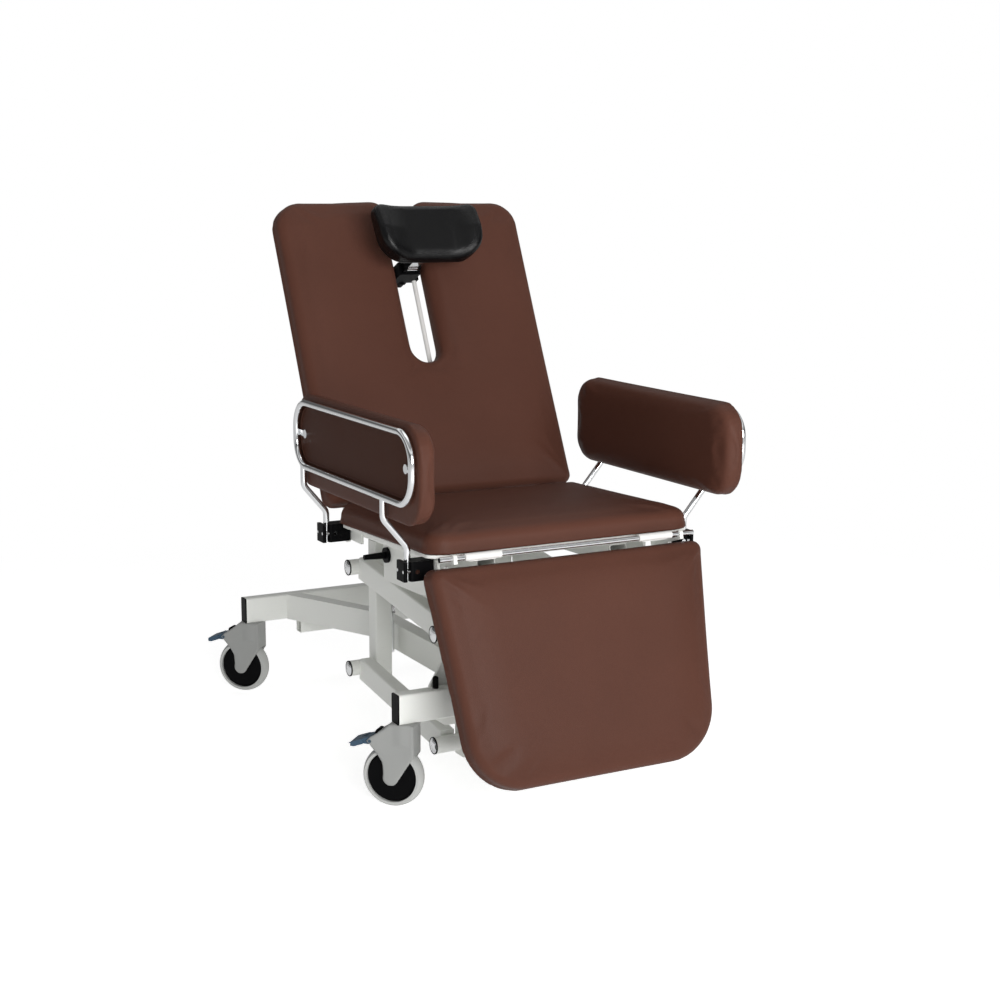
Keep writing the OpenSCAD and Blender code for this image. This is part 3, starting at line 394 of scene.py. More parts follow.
@dataclass(frozen=True)
class Handling:
    """Handling marks: broad cloudy patches, and thin scuffs that show here and there."""

    cloud_scale: float = 3.5
    cloud: tuple[Pair, Pair] = ((0.35, 0.0), (0.68, 1.0))
    stretch: tuple[float, float, float] = (14.0, 90.0, 60.0)
    scuff_scale: float = 4.0
    scuff: tuple[Pair, Pair] = ((0.60, 0.0), (0.70, 1.0))

    def fill(self, g: Graph, given: bpy.types.Node) -> dict[str, object]:
        """Makes the group's nodes.

        Args:
            g: The group's graph.
            given: The group's inputs.

        Returns:
            The sockets of its Cloud and Scuff.
        """
        broad = g.ramp(g.noise(self.cloud_scale, 4.0), self.cloud)
        streaks = g.add("Mapping", None, Vector=g.place(), Scale=self.stretch).outputs[0]
        scuff = g.ramp(g.noise(self.scuff_scale, 6.0, streaks), self.scuff)
        return {"Cloud": g.times(broad, given.outputs["Amount"]), "Scuff": g.times(scuff, given.outputs["Amount"])}


@dataclass(frozen=True)
class CoatSurface:
    """Powder coat's orange peel, and the dust that settles on faces that look up."""

    facing: tuple[Pair, Pair] = ((0.55, 0.0), (1.0, 1.0))
    patch_scale: float = 22.0
    patches: tuple[Pair, Pair] = ((0.4, 0.1), (0.7, 1.0))

    def fill(self, g: Graph, given: bpy.types.Node) -> dict[str, object]:
        """Makes the group's nodes.

        Args:
            g: The group's graph.
            given: The group's inputs.

        Returns:
            The sockets of its Height and Dust.
        """
        up = g.add("SeparateXYZ", None, Vector=g.add("NewGeometry").outputs["Normal"]).outputs[2]
        dust = g.times(g.ramp(up, self.facing), g.ramp(g.noise(self.patch_scale, 5.0), self.patches))
        return {"Height": g.noise(given.outputs["Bumps"], 2.0), "Dust": dust}


class Shared:
    """The shader groups that more than one material uses."""

    def __init__(self) -> None:
        """Makes the groups."""
        self.grain = shader_group("leather_grain", {"Pebbles": 900.0}, ("Height", "Crease"), Pebbles().fill)
        self.use = shader_group("handling_marks", {"Amount": 1.0}, ("Cloud", "Scuff"), Handling().fill)
        self.peel = shader_group("coat_surface", {"Bumps": 700.0}, ("Height", "Dust"), CoatSurface().fill)

    def put(self, g: Graph, group: bpy.types.NodeTree, **inputs: float) -> bpy.types.Node:
        """Adds a group to a material.

        Args:
            g: The material's graph.
            group: The group.
            **inputs: Its input values.

        Returns:
            The group's node.
        """
        node = g.tree.nodes.new("ShaderNodeGroup")
        node.node_tree = group
        for key, value in inputs.items():
            node.inputs[key].default_value = value
        return node


def shade(colour: Colour, factor: float) -> tuple[float, float, float, float]:
    """A colour made lighter or darker.

    Args:
        colour: The colour.
        factor: What each channel is multiplied by.

    Returns:
        The colour with full alpha.
    """
    return tuple(min(c * factor, 1.0) for c in colour) + (1.0,)


@dataclass(frozen=True)
class Finish:
    """A surface finish: what every material has in common, and the record's slots that it dresses."""

    name: str
    slots: tuple[str, ...]
    colour: Colour
    roughness: float

    def make(self, shared: Shared) -> bpy.types.Material:
        """Builds the material.

        Args:
            shared: The shared shader groups.

        Returns:
            The material.
        """
        material = bpy.data.materials.new(self.name)
        material.use_nodes = True
        tree = material.node_tree
        shader = tree.nodes["Principled BSDF"]
        shader.inputs["Base Color"].default_value = shade(self.colour, 1.0)
        shader.inputs["Roughness"].default_value = self.roughness
        material.diffuse_color = shade(self.colour, 1.0)
        self.dress(Graph(tree), shader, shared)
        return material

    def dress(self, g: Graph, shader: bpy.types.Node, shared: Shared) -> None:
        """Adds the finish's own detail; each finish has its own.

        Args:
            g: The material's graph.
            shader: Its main shader.
            shared: The shared shader groups.
        """

    def bump(self, g: Graph, shader: bpy.types.Node, height: object, depth: float,
             strength: float = 1.0) -> None:
        """Gives the shader a relief.

        Args:
            g: The material's graph.
            shader: Its main shader.
            height: The relief's socket, about 0 to 1.
            depth: The relief's depth.
            strength: The relief's strength.
        """
        node = g.add("Bump", None, Strength=strength, Distance=depth, Height=height)
        g.plug(shader.inputs["Normal"], node.outputs[0])


@dataclass(frozen=True)
class Leatherette(Finish):
    """Coated fabric with a pebbled grain, a painted highlight along the rounded rim of the pad's face, and painted
    shade in the grain's creases.
    """

    pebbles: float = 900.0
    depth: float = 0.22 * MM
    # The next two paint a highlight on the pad's rounded rim: how much paler, and how strongly.
    edge_highlight_tint: float = 1.22
    edge_highlight_share: float = 0.55
    gloss: float = 0.13
    clouding: float = 0.07
    # Painted shade in the grain's creases: how dark, and how strongly.
    crease_shade_tint: float = 0.62
    crease_shade_share: float = 0.45
    polish: float = 0.05
    wave_scale: float = 9.0
    wave: float = 3.0
    fold_scale: float = 60.0
    fold: float = 5.0

    def dress(self, g: Graph, shader: bpy.types.Node, shared: Shared) -> None:
        """Adds grain with painted shade in its creases, clouding, a painted highlight on the rounded edges, and
        puckers at the corners.

        Args:
            g: The material's graph.
            shader: Its main shader.
            shared: The shared shader groups.
        """
        grain = shared.put(g, shared.grain, Pebbles=self.pebbles)
        cloud = shared.put(g, shared.use, Amount=1.0).outputs["Cloud"]
        edge = g.stored("edge")
        base = g.mix(cloud, shade(self.colour, 1 - self.clouding), shade(self.colour, 1 + self.clouding))
        # Painted shade: the base colour darkens in the grain's creases, following the same cells as the relief.
        crease_shade = g.times(grain.outputs["Crease"], self.crease_shade_share)
        base = g.mix(crease_shade, base, shade(self.colour, self.crease_shade_tint))
        # Painted highlight: the base colour is made paler along the pad's rounded rim from the stored edge mask; the
        # same mask also lowers the roughness.
        base = g.mix(g.times(edge, self.edge_highlight_share), base, shade(self.colour, self.edge_highlight_tint))
        g.plug(shader.inputs["Base Color"], base)
        rough = g.plus(self.roughness - self.polish, g.times(cloud, self.clouding))
        g.plug(shader.inputs["Roughness"], g.math("SUBTRACT", rough, g.times(edge, self.polish)))
        shader.inputs["Specular IOR Level"].default_value = self.gloss
        waves = g.times(g.noise(self.wave_scale, 2.0), self.wave)
        folds = g.times(g.noise(self.fold_scale, 2.0), g.times(g.stored("pucker"), self.fold))
        self.bump(g, shader, g.plus(g.plus(grain.outputs["Height"], waves), folds), self.depth)


@dataclass(frozen=True)
class PowderCoat(Finish):
    """Paint baked on steel: faint orange peel, a little dust, slight scuffs."""

    bumps: float = 650.0
    depth: float = 0.08 * MM
    dusty: float = 0.25
    dust_tint: float = 0.86
    dust_rough: float = 0.2
    scuff_tint: float = 0.7
    scuff_share: float = 0.10
    cloud_rough: float = 0.08

    def dress(self, g: Graph, shader: bpy.types.Node, shared: Shared) -> None:
        """Adds orange peel, dust on the upper faces, and scuffs in the gloss.

        Args:
            g: The material's graph.
            shader: Its main shader.
            shared: The shared shader groups.
        """
        peel = shared.put(g, shared.peel, Bumps=self.bumps)
        use = shared.put(g, shared.use, Amount=1.0)
        dust = peel.outputs["Dust"]
        base = g.mix(g.times(dust, self.dusty), shade(self.colour, 1.0), shade(self.colour, self.dust_tint))
        scuff = g.times(use.outputs["Scuff"], self.scuff_share)
        g.plug(shader.inputs["Base Color"], g.mix(scuff, base, shade(self.colour, self.scuff_tint)))
        rough = g.plus(self.roughness, g.times(use.outputs["Cloud"], self.cloud_rough))
        g.plug(shader.inputs["Roughness"], g.plus(rough, g.times(dust, self.dust_rough)))
        self.bump(g, shader, peel.outputs["Height"], self.depth)


@dataclass(frozen=True)
class BareMetal(Finish):
    """Plated, ground or anodised metal: smudges in the gloss and a brushed direction."""

    brushed: float = 0.0
    smudge: float = 0.06
    lines: tuple[float, float, float] = (30.0, 4000.0, 4000.0)
    depth: float = 0.03 * MM
    least_relief: float = 0.2
    scuff_tint: float = 0.8
    scuff_share: float = 0.15

    def dress(self, g: Graph, shader: bpy.types.Node, shared: Shared) -> None:
        """Adds smudges, fine scratches, and brush lines where the metal is ground.

        Args:
            g: The material's graph.
            shader: Its main shader.
            shared: The shared shader groups.
        """
        shader.inputs["Metallic"].default_value = 1.0
        use = shared.put(g, shared.use, Amount=1.0)
        brush = g.noise(1.0, 3.0, g.add("Mapping", None, Vector=g.place(), Scale=self.lines).outputs[0])
        scuff = g.times(use.outputs["Scuff"], self.scuff_share)
        g.plug(shader.inputs["Base Color"], g.mix(scuff, shade(self.colour, 1.0), shade(self.colour, self.scuff_tint)))
        rough = g.plus(self.roughness, g.times(use.outputs["Cloud"], self.smudge))
        g.plug(shader.inputs["Roughness"], g.plus(rough, g.times(brush, self.brushed)))
        self.bump(g, shader, brush, self.depth, self.least_relief + self.brushed)


@dataclass(frozen=True)
class Moulded(Finish):
    """Moulded plastic or rubber: a fine spark-eroded texture and rubbed patches."""

    texture: float = 1500.0
    depth: float = 0.06 * MM
    dusty: float = 0.15
    gloss: float = 0.12
    dust_grey: float = 0.14
    rub_tint: float = 1.5
    rub_share: float = 0.12
    fresh: float = 0.03

    def dress(self, g: Graph, shader: bpy.types.Node, shared: Shared) -> None:
        """Adds texture, rubbed patches and dust.

        Args:
            g: The material's graph.
            shader: Its main shader.
            shared: The shared shader groups.
        """
        peel = shared.put(g, shared.peel, Bumps=self.texture)
        use = shared.put(g, shared.use, Amount=1.0)
        dusted = tuple(c / 2 + self.dust_grey for c in self.colour)
        dust = g.times(peel.outputs["Dust"], self.dusty)
        base = g.mix(dust, shade(self.colour, 1.0), shade(dusted, 1.0))
        rubbed = g.times(use.outputs["Cloud"], self.rub_share)
        g.plug(shader.inputs["Base Color"], g.mix(rubbed, base, shade(self.colour, self.rub_tint)))
        shader.inputs["Specular IOR Level"].default_value = self.gloss
        rough = g.math("SUBTRACT", self.roughness + self.fresh, g.times(use.outputs["Scuff"], self.rub_share))
        g.plug(shader.inputs["Roughness"], rough)
        self.bump(g, shader, peel.outputs["Height"], self.depth)


@dataclass(frozen=True)
class Cambric(Finish):
    """The woven backing cloth under a pad."""

    threads: float = 1400.0
    uneven: float = 0.6
    depth: float = 0.2 * MM
    valley_shade: float = 0.5
    ridge_highlight: float = 1.6

    def dress(self, g: Graph, shader: bpy.types.Node, shared: Shared) -> None:
        """Adds a plain weave of crossed threads, with painted shade in its valleys and a painted highlight on its
        ridges.

        Args:
            g: The material's graph.
            shader: Its main shader.
            shared: The shared shader groups, of which cloth needs none.
        """
        waves = [g.add("TexWave", {"bands_direction": axis}, Vector=g.place(), Scale=self.threads / math.tau,
                       Distortion=self.uneven).outputs["Fac"] for axis in ("X", "Z")]
        weave = g.math("MAXIMUM", *waves)
        # Painted shade and highlight: the colour darkens in the weave's valleys and brightens on its ridges, following
        # the relief.
        tone = g.mix(weave, shade(self.colour, self.valley_shade), shade(self.colour, self.ridge_highlight))
        g.plug(shader.inputs["Base Color"], tone)
        self.bump(g, shader, weave, self.depth)


class Look(Enum):
    """Every finish on the chair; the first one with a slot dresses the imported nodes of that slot."""

    LEATHER = Leatherette("brown_leatherette", ("brown_leather",), (0.104, 0.040, 0.0265), 0.50)
    BLACK_LEATHER = Leatherette("black_leatherette", ("black_leather",), (0.0022, 0.0022, 0.0025), 0.30,
                                edge_highlight_tint=1.5, gloss=0.26)
    # A darker, less glossy copy of the brown leatherette for the arm panels: painted shade.
    DARK_LEATHER = Leatherette("dark_leatherette", ("brown_leather",), (0.066, 0.0225, 0.0125), 0.46, gloss=0.05)
    COAT = PowderCoat("white_powder_coat", ("white_frame",), (0.90, 0.91, 0.87), 0.34)
    DARK_COAT = PowderCoat("dark_paint", ("motor_dark", "black_paint"), (0.018, 0.018, 0.02), 0.38)
    CHROME = BareMetal("chrome_plate", ("chrome",), (0.83, 0.84, 0.85), 0.045)
    STEEL = BareMetal("ground_steel", ("spring_steel",), (0.56, 0.56, 0.57), 0.2, brushed=0.25)
    ALUMINIUM = BareMetal("anodised_aluminium", ("actuator_alu",), (0.62, 0.63, 0.64), 0.28, brushed=0.12)
    BLACK = Moulded("black_plastic", ("black_plastic",), (0.003, 0.003, 0.0034), 0.40, dusty=0.02, gloss=0.05)
    CAST_GREY = Moulded("grey_nylon", ("castor_grey",), (0.345, 0.35, 0.34), 0.42, dusty=0.2)
    WHITE = Moulded("white_nylon", ("white_plastic",), (0.8, 0.79, 0.77), 0.3, depth=0.03 * MM)
    BLUE = Moulded("blue_nylon", ("pedal_blue",), (0.055, 0.095, 0.14), 0.4)
    RUBBER = Moulded("black_rubber", ("black_rubber",), (0.005, 0.005, 0.005), 0.6, depth=0.12 * MM, dusty=0.03,
                     gloss=0.05)
    TYRE = Moulded("grey_tread", ("tyre_grey",), (0.50, 0.505, 0.49), 0.55, texture=900.0, depth=0.1 * MM, dusty=0.3)
    CLOTH = Cambric("black_backing_cloth", ("black_rubber",), (0.012, 0.012, 0.012), 0.9)
    THREAD = Moulded("brown_thread", ("brown_leather",), (0.075, 0.032, 0.022), 0.6)


def look_of(slot: str) -> Look:
    """The finish that dresses a slot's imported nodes.

    Args:
        slot: The record's material slot.

    Returns:
        The first finish that has it.
    """
    return next(look for look in Look if slot in look.value.slots)


def put_in_scene(name: str, data: bpy.types.ID) -> bpy.types.Object:
    """Adds an object to the scene.

    Args:
        name: Its name.
        data: Its mesh, light or camera.

    Returns:
        The object.
    """
    thing = bpy.data.objects.new(name, data)
    bpy.context.scene.collection.objects.link(thing)
    return thing


class Kit:
    """The scene's materials, and the step that turns a mesh into a piece of the chair."""

    def __init__(self) -> None:
        """Builds every material."""
        shared = Shared()
        self.materials = {look: look.value.make(shared) for look in Look}

    def piece(self, name: str, mesh: bpy.types.Mesh, body: str, look: Look, smooth: bool = True,
              replaces: Sequence[str] = ()) -> bpy.types.Object:
        """Turns a mesh into a piece that rides on a body.

        Args:
            name: The piece's name.
            mesh: Its mesh, in the chair's frame.
            body: The body that it moves with.
            look: Its finish.
            smooth: Whether its faces are shaded smooth.
            replaces: CAD nodes that it stands for.

        Returns:
            The object.
        """
        mesh.name = name
        if not mesh.materials:
            mesh.materials.append(self.materials[look])
        if smooth:
            mesh.shade_smooth()
        thing = put_in_scene(name, mesh)
        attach(thing, body)
        if replaces:
            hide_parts(*replaces)
        LOG.info("%s on %s: %d faces, %s", name, body, len(mesh.polygons), look.value.name)
        return thing


# Meshes

def mesh_from(points: Sequence | np.ndarray, faces: Sequence[Sequence[int]]) -> bpy.types.Mesh:
    """A mesh whose normals point outwards.

    Args:
        points: Its vertices.
        faces: Its faces as vertex numbers.

    Returns:
        The mesh.
    """
    mesh = bpy.data.meshes.new("mesh")
    mesh.from_pydata([tuple(p) for p in points], [], [tuple(f) for f in faces])
    work = bmesh.new()
    work.from_mesh(mesh)
    bmesh.ops.recalc_face_normals(work, faces=work.faces)
    work.to_mesh(mesh)
    work.free()
    return mesh


def ring_faces(steps: int, rings: int, closed: bool = False) -> list[Sequence[int]]:
    """The quads between rings of equally many points.

    Args:
        steps: The points of a ring.
        rings: The number of rings.
        closed: Whether the last ring joins the first.

    Returns:
        The faces as vertex numbers.
    """
    pairs = [(i * steps, (i + 1) % rings * steps) for i in range(rings if closed else rings - 1)]
    return [(a + j, a + (j + 1) % steps, b + (j + 1) % steps, b + j) for a, b in pairs for j in range(steps)]


def loft(rings: Sequence[np.ndarray]) -> bpy.types.Mesh:
    """A closed skin over rings of equally many points.

    Args:
        rings: The rings, each an array of points.

    Returns:
        The mesh.
    """
    n = len(rings[0])
    total = n * len(rings)
    points = np.concatenate([*rings, rings[0].mean(0)[None], rings[-1].mean(0)[None]])
    faces = ring_faces(n, len(rings))
    faces += [(total, (j + 1) % n, j) for j in range(n)]
    faces += [(total + 1, total - n + j, total - n + (j + 1) % n) for j in range(n)]
    return mesh_from(points, faces)


def lathe(profile: Sequence[Pair], place: Place, steps: int = 48) -> bpy.types.Mesh:
    """A turned piece round a place's out axis; a profile that ends on the axis is closed there.

    Args:
        profile: Pairs of radius and height, from one end of the axis to the other, or a ring's closed outline.
        place: Where the axis stands.
        steps: Facets round the axis.

    Returns:
        The mesh.
    """
    turn = np.linspace(0, math.tau, steps, endpoint=False)
    rings = [np.stack([r * np.cos(turn), r * np.sin(turn), np.full(steps, z)], 1) for r, z in profile if r > 0]
    if profile[0][0] > 0 and profile[-1][0] > 0:
        mesh = mesh_from(np.concatenate(rings), ring_faces(steps, len(rings), closed=True))
    else:
        mesh = loft(rings)
    mesh.transform(place.matrix())
    return mesh


def tube(path: Sequence[Vector], radius: float, closed: bool = False, sides: int = 12) -> bpy.types.Mesh:
    """A round rod along a path.

    Args:
        path: The points of its centre line.
        radius: Its radius.
        closed: Whether the path is a loop.
        sides: Facets round it.

    Returns:
        The mesh.
    """
    n = len(path)
    rings = []
    normal = None
    for i, point in enumerate(path):
        before = path[i - 1] if closed or i else path[i]
        after = path[(i + 1) % n] if closed or i < n - 1 else path[i]
        ahead = (after - before).normalized()
        normal = ahead.orthogonal() if normal is None else normal - ahead * normal.dot(ahead)
        normal.normalize()
        side = ahead.cross(normal)
        turn = [math.tau * k / sides for k in range(sides)]
        rings.append(np.array([point + (normal * math.cos(t) + side * math.sin(t)) * radius for t in turn]))
    if closed:
        return mesh_from(np.concatenate(rings), ring_faces(sides, n, closed=True))
    return loft(rings)


def finished(work: bmesh.types.BMesh, name: str) -> bpy.types.Mesh:
    """A plain mesh from one in work.

    Args:
        work: The mesh in work, which is used up.
        name: The new mesh's name.

    Returns:
        The mesh.
    """
    mesh = bpy.data.meshes.new(name)
    work.to_mesh(mesh)
    work.free()
    return mesh


def joined(meshes: Iterable[bpy.types.Mesh]) -> bpy.types.Mesh:
    """Several meshes as one.

    Args:
        meshes: The meshes, which are used up.

    Returns:
        The joined mesh.
    """
    work = bmesh.new()
    for mesh in meshes:
        work.from_mesh(mesh)
        bpy.data.meshes.remove(mesh)
    return finished(work, "joined")


def rounded_block(place: Place, size: Vector, radius: float, steps: int = 3) -> bpy.types.Mesh:
    """A block with round edges, its middle at a place.

    Args:
        place: Where it stands.
        size: Its lengths across, along and out.
        radius: Its edges' radius.
        steps: Facets of an edge.

    Returns:
        The mesh.
    """
    work = bmesh.new()
    bmesh.ops.create_cube(work, size=1.0, matrix=Matrix.Diagonal((*size, 1.0)))
    bmesh.ops.bevel(work, geom=work.edges[:], offset=radius, segments=steps, profile=0.5, affect="EDGES")
    mesh = finished(work, "block")
    mesh.transform(place.matrix())
    return mesh


def applied(thing: bpy.types.Object) -> bpy.types.Mesh:
    """A thing's mesh with its modifiers applied.

    Args:
        thing: The object.

    Returns:
        The new mesh.
    """
    graph = bpy.context.evaluated_depsgraph_get()
    graph.update()
    return bpy.data.meshes.new_from_object(thing.evaluated_get(graph))


def with_modifier(mesh: bpy.types.Mesh, kind: str, **settings: object) -> bpy.types.Mesh:
    """A mesh after one modifier.

    Args:
        mesh: The mesh, which is used up.
        kind: The modifier's type.
        **settings: Its settings.

    Returns:
        The changed mesh.
    """
    thing = put_in_scene("work", mesh)
    modifier = thing.modifiers.new(kind.title(), kind)
    for key, value in settings.items():
        setattr(modifier, key, value)
    result = applied(thing)
    bpy.data.objects.remove(thing)
    bpy.data.meshes.remove(mesh)
    return result


# Skins over a distance field: soft forms with every edge rounded as foam rounds it

Field = Callable[[np.ndarray, np.ndarray, np.ndarray], np.ndarray]
NET_START = -1.37  # in mesh widths; an odd share keeps flat faces off the net's own planes
SETTLING_STEPS = 3
LEAST_STEEPNESS = 0.25
CLOTH_FRAMES = 20


def slope(field_at: Field, points: np.ndarray, step: float = 0.2 * MM) -> np.ndarray:
    """The field's gradient.

    Args:
        field_at: The distance field.
        points: Where it is read.
        step: The difference's length.

    Returns:
        A gradient for each point.
    """
    parts = []
    for axis in range(3):
        shift = np.zeros(3)
        shift[axis] = step
        parts.append(field_at(*(points + shift).T) - field_at(*(points - shift).T))
    return np.stack(parts, 1) / (2 * step)


def skin(field_at: Field, low: Sequence[float], high: Sequence[float], step: float) -> bpy.types.Mesh:
    """An even net of quads over the zero surface of a distance field.

    Args:
        field_at: The field, negative inside.
        low: The lowest corner that the surface reaches.
        high: The highest corner.
        step: The net's mesh width.

    Returns:
        The closed mesh.
    """
    start = np.array(low) + NET_START * step
    axes = [np.arange(a, b + 1.5 * step, step) for a, b in zip(start, high)]
    f = field_at(*np.meshgrid(*axes, indexing="ij"))
    cells = tuple(s - 1 for s in f.shape)
    total, count = np.zeros((*cells, 3)), np.zeros(cells)
    corner = np.array(np.meshgrid(*[np.arange(s) for s in cells], indexing="ij"), float).transpose(1, 2, 3, 0)

    def at(offset: Sequence[int]) -> np.ndarray:
        """The field at one corner of every cell."""
        return f[tuple(slice(o, o + s) for o, s in zip(offset, cells))]

    for axis in range(3):
        unit = np.eye(3, dtype=int)[axis]
        for i in (0, 1):
            for j in (0, 1):
                first = np.roll(np.array((0, i, j)), axis)
                a, b = at(first), at(first + unit)
                cross = (a < 0) != (b < 0)
                share = np.where(cross, a / np.where(cross, a - b, 1.0), 0.0)
                total += cross[..., None] * (corner + first + share[..., None] * unit)
                count += cross
    used = count > 0
    number = np.full(cells, -1)
    number[used] = np.arange(used.sum())
    points = start + total[used] / count[used][:, None] * step
    faces = []
    unit = np.eye(3, dtype=int)
    for axis in range(3):
        inside = f < 0
        last = f.shape[axis] - 1
        where = np.argwhere(np.take(inside, range(last), axis) != np.take(inside, range(1, last + 1), axis))
        across, up = unit[(axis + 1) % 3], unit[(axis + 2) % 3]
        corners = [where, where - across, where - across - up, where - up]
        faces.append(np.stack([number[tuple(c.T)] for c in corners], 1))
    for _ in range(SETTLING_STEPS):
        way = slope(field_at, points)
        steepness = np.maximum((way ** 2).sum(1), LEAST_STEEPNESS)
        points = points - way * (field_at(*points.T) / steepness)[:, None]
    return mesh_from(points, np.concatenate(faces).tolist())


def rounded_corner(a: np.ndarray, b: np.ndarray, radius: np.ndarray | float) -> np.ndarray:
    """Distance to the corner of two faces, rounded to a radius.

    Args:
        a: Distance to the first face, negative inside.
        b: Distance to the second face.
        radius: The corner's radius.

    Returns:
        The distance, negative inside.
    """
    a, b = a + radius, b + radius
    return np.minimum(np.maximum(a, b), 0) + np.hypot(np.maximum(a, 0), np.maximum(b, 0)) - radius


def rounded_outline(u: np.ndarray, v: np.ndarray, half: tuple[np.ndarray | float, float],
                    low_radius: float, high_radius: float) -> np.ndarray:
    """Distance to a rectangle with round corners, in its plane.

    Args:
        u: Distance across from its middle.
        v: Distance along from its middle.
        half: Half its width and half its length.
        low_radius: Its two lower corners' radius.
        high_radius: Its two upper corners' radius.

    Returns:
        The distance, negative inside.
    """
    return rounded_corner(np.abs(u) - half[0], np.abs(v) - half[1], np.where(v > 0, high_radius, low_radius))


def soft_max(a: np.ndarray, b: np.ndarray, blend: float) -> np.ndarray:
    """The larger of two fields, with the crease between them filled to a radius.

    Args:
        a: The first field.
        b: The second field.
        blend: The radius.

    Returns:
        The joined field.
    """
    h = np.maximum(blend - np.abs(a - b), 0) / blend
    return np.maximum(a, b) + h * h * blend / 4


def swollen(mesh: bpy.types.Mesh, cap: float, back: float, smooth: int = 2) -> bpy.types.Mesh:
    """Foam and cover pressed out by a cloth simulation, with the rear face held by its board.

    Args:
        mesh: The pad's net in local axes, its out axis +Z; it is used up.
        cap: The furthest that a point may move.
        back: Height below which the cover is stapled down.
        smooth: Smoothing passes over the result.

    Returns:
        The swollen mesh.
    """
    thing = put_in_scene("cover", mesh)
    before = coordinates(mesh)
    held = thing.vertex_groups.new(name="held")
    held.add([int(i) for i in np.flatnonzero(before[:, 2] < back)], 1.0, "REPLACE")
    cloth = thing.modifiers.new("Cloth", "CLOTH")
    rules = cloth.settings
    rules.quality = 4
    rules.mass = 0.3
    rules.tension_stiffness = rules.compression_stiffness = rules.shear_stiffness = 12
    rules.bending_stiffness = 1.5
    rules.use_pressure = True
    rules.uniform_pressure_force = 4
    rules.vertex_group_mass = "held"
    rules.effector_weights.gravity = 0
    cloth.point_cache.frame_end = CLOTH_FRAMES
    for number in range(1, CLOTH_FRAMES + 1):
        bpy.context.scene.frame_set(number)
    after = coordinates(applied(thing))
    bpy.data.objects.remove(thing)
    bpy.context.scene.frame_set(1)
    move = after - before
    far = np.linalg.norm(move, axis=1, keepdims=True)
    place = before + move * np.minimum(1.0, cap / np.maximum(far, 1e-9))
    mesh.vertices.foreach_set("co", place.astype(np.float32).ravel())
    return with_modifier(mesh, "SMOOTH", factor=0.5, iterations=smooth)


def coordinates(mesh: bpy.types.Mesh) -> np.ndarray:
    """A mesh's vertices.

    Args:
        mesh: The mesh.

    Returns:
        Their coordinates, one row each.
    """
    flat = np.empty(len(mesh.vertices) * 3, np.float32)
    mesh.vertices.foreach_get("co", flat)
    return flat.reshape(-1, 3).astype(float)


def marked(mesh: bpy.types.Mesh, name: str, values: np.ndarray) -> None:
    """Stores a value on each vertex for the material.

    Args:
        mesh: The mesh.
        name: The attribute's name.
        values: One value for each vertex.
    """
    layer = mesh.attributes.new(name, "FLOAT", "POINT")
    layer.data.foreach_set("value", values.astype(np.float32))


def outline_gap(x: np.ndarray, y: np.ndarray, corners: Sequence[Pair]) -> np.ndarray:
    """Distance to a closed outline of straight edges.

    Args:
        x: The points' first coordinate.
        y: The points' second coordinate.
        corners: The outline's corners.

    Returns:
        The distance, negative inside.
    """
    near = np.full(x.shape, np.inf)
    inside = np.zeros(x.shape, bool)
    for (ax, ay), (bx, by) in zip(corners, [*corners[1:], corners[0]]):
        ex, ey = bx - ax, by - ay
        share = np.clip(((x - ax) * ex + (y - ay) * ey) / (ex * ex + ey * ey), 0, 1)
        near = np.minimum(near, (x - ax - ex * share) ** 2 + (y - ay - ey * share) ** 2)
        if ey:
            inside ^= ((ay > y) != (by > y)) & (x < ax + ex * (y - ay) / ey)
    return np.where(inside, -1, 1) * np.sqrt(near)


def arc(centre: Pair, radius: float, start: float, end: float, steps: int = 12) -> list[Pair]:
    """Points along an arc in a plane.

    Args:
        centre: Its centre.
        radius: Its radius.
        start: Its first angle in degrees.
        end: Its last angle in degrees.
        steps: Its facets.

    Returns:
        The points.
    """
    turn = np.radians(np.linspace(start, end, steps + 1))
    return [(centre[0] + radius * math.cos(t), centre[1] + radius * math.sin(t)) for t in turn]


def sheet_of(outline: Sequence[Pair], thickness: float, place: Place) -> bpy.types.Mesh:
    """A flat sheet with an outline of its own.

    Args:
        outline: Its outline in the place's plane.
        thickness: Its thickness along the place's out axis.
        place: Where it lies.

    Returns:
        The closed mesh.
    """
    n = len(outline)
    points = [(x, y, z) for z in (0.0, thickness) for x, y in outline]
    faces: list[Sequence[int]] = [tuple(range(n))[::-1], tuple(range(n, 2 * n))]
    faces += [(i, (i + 1) % n, n + (i + 1) % n, n + i) for i in range(n)]
    mesh = mesh_from(points, faces)
    mesh.transform(place.matrix())
    return mesh


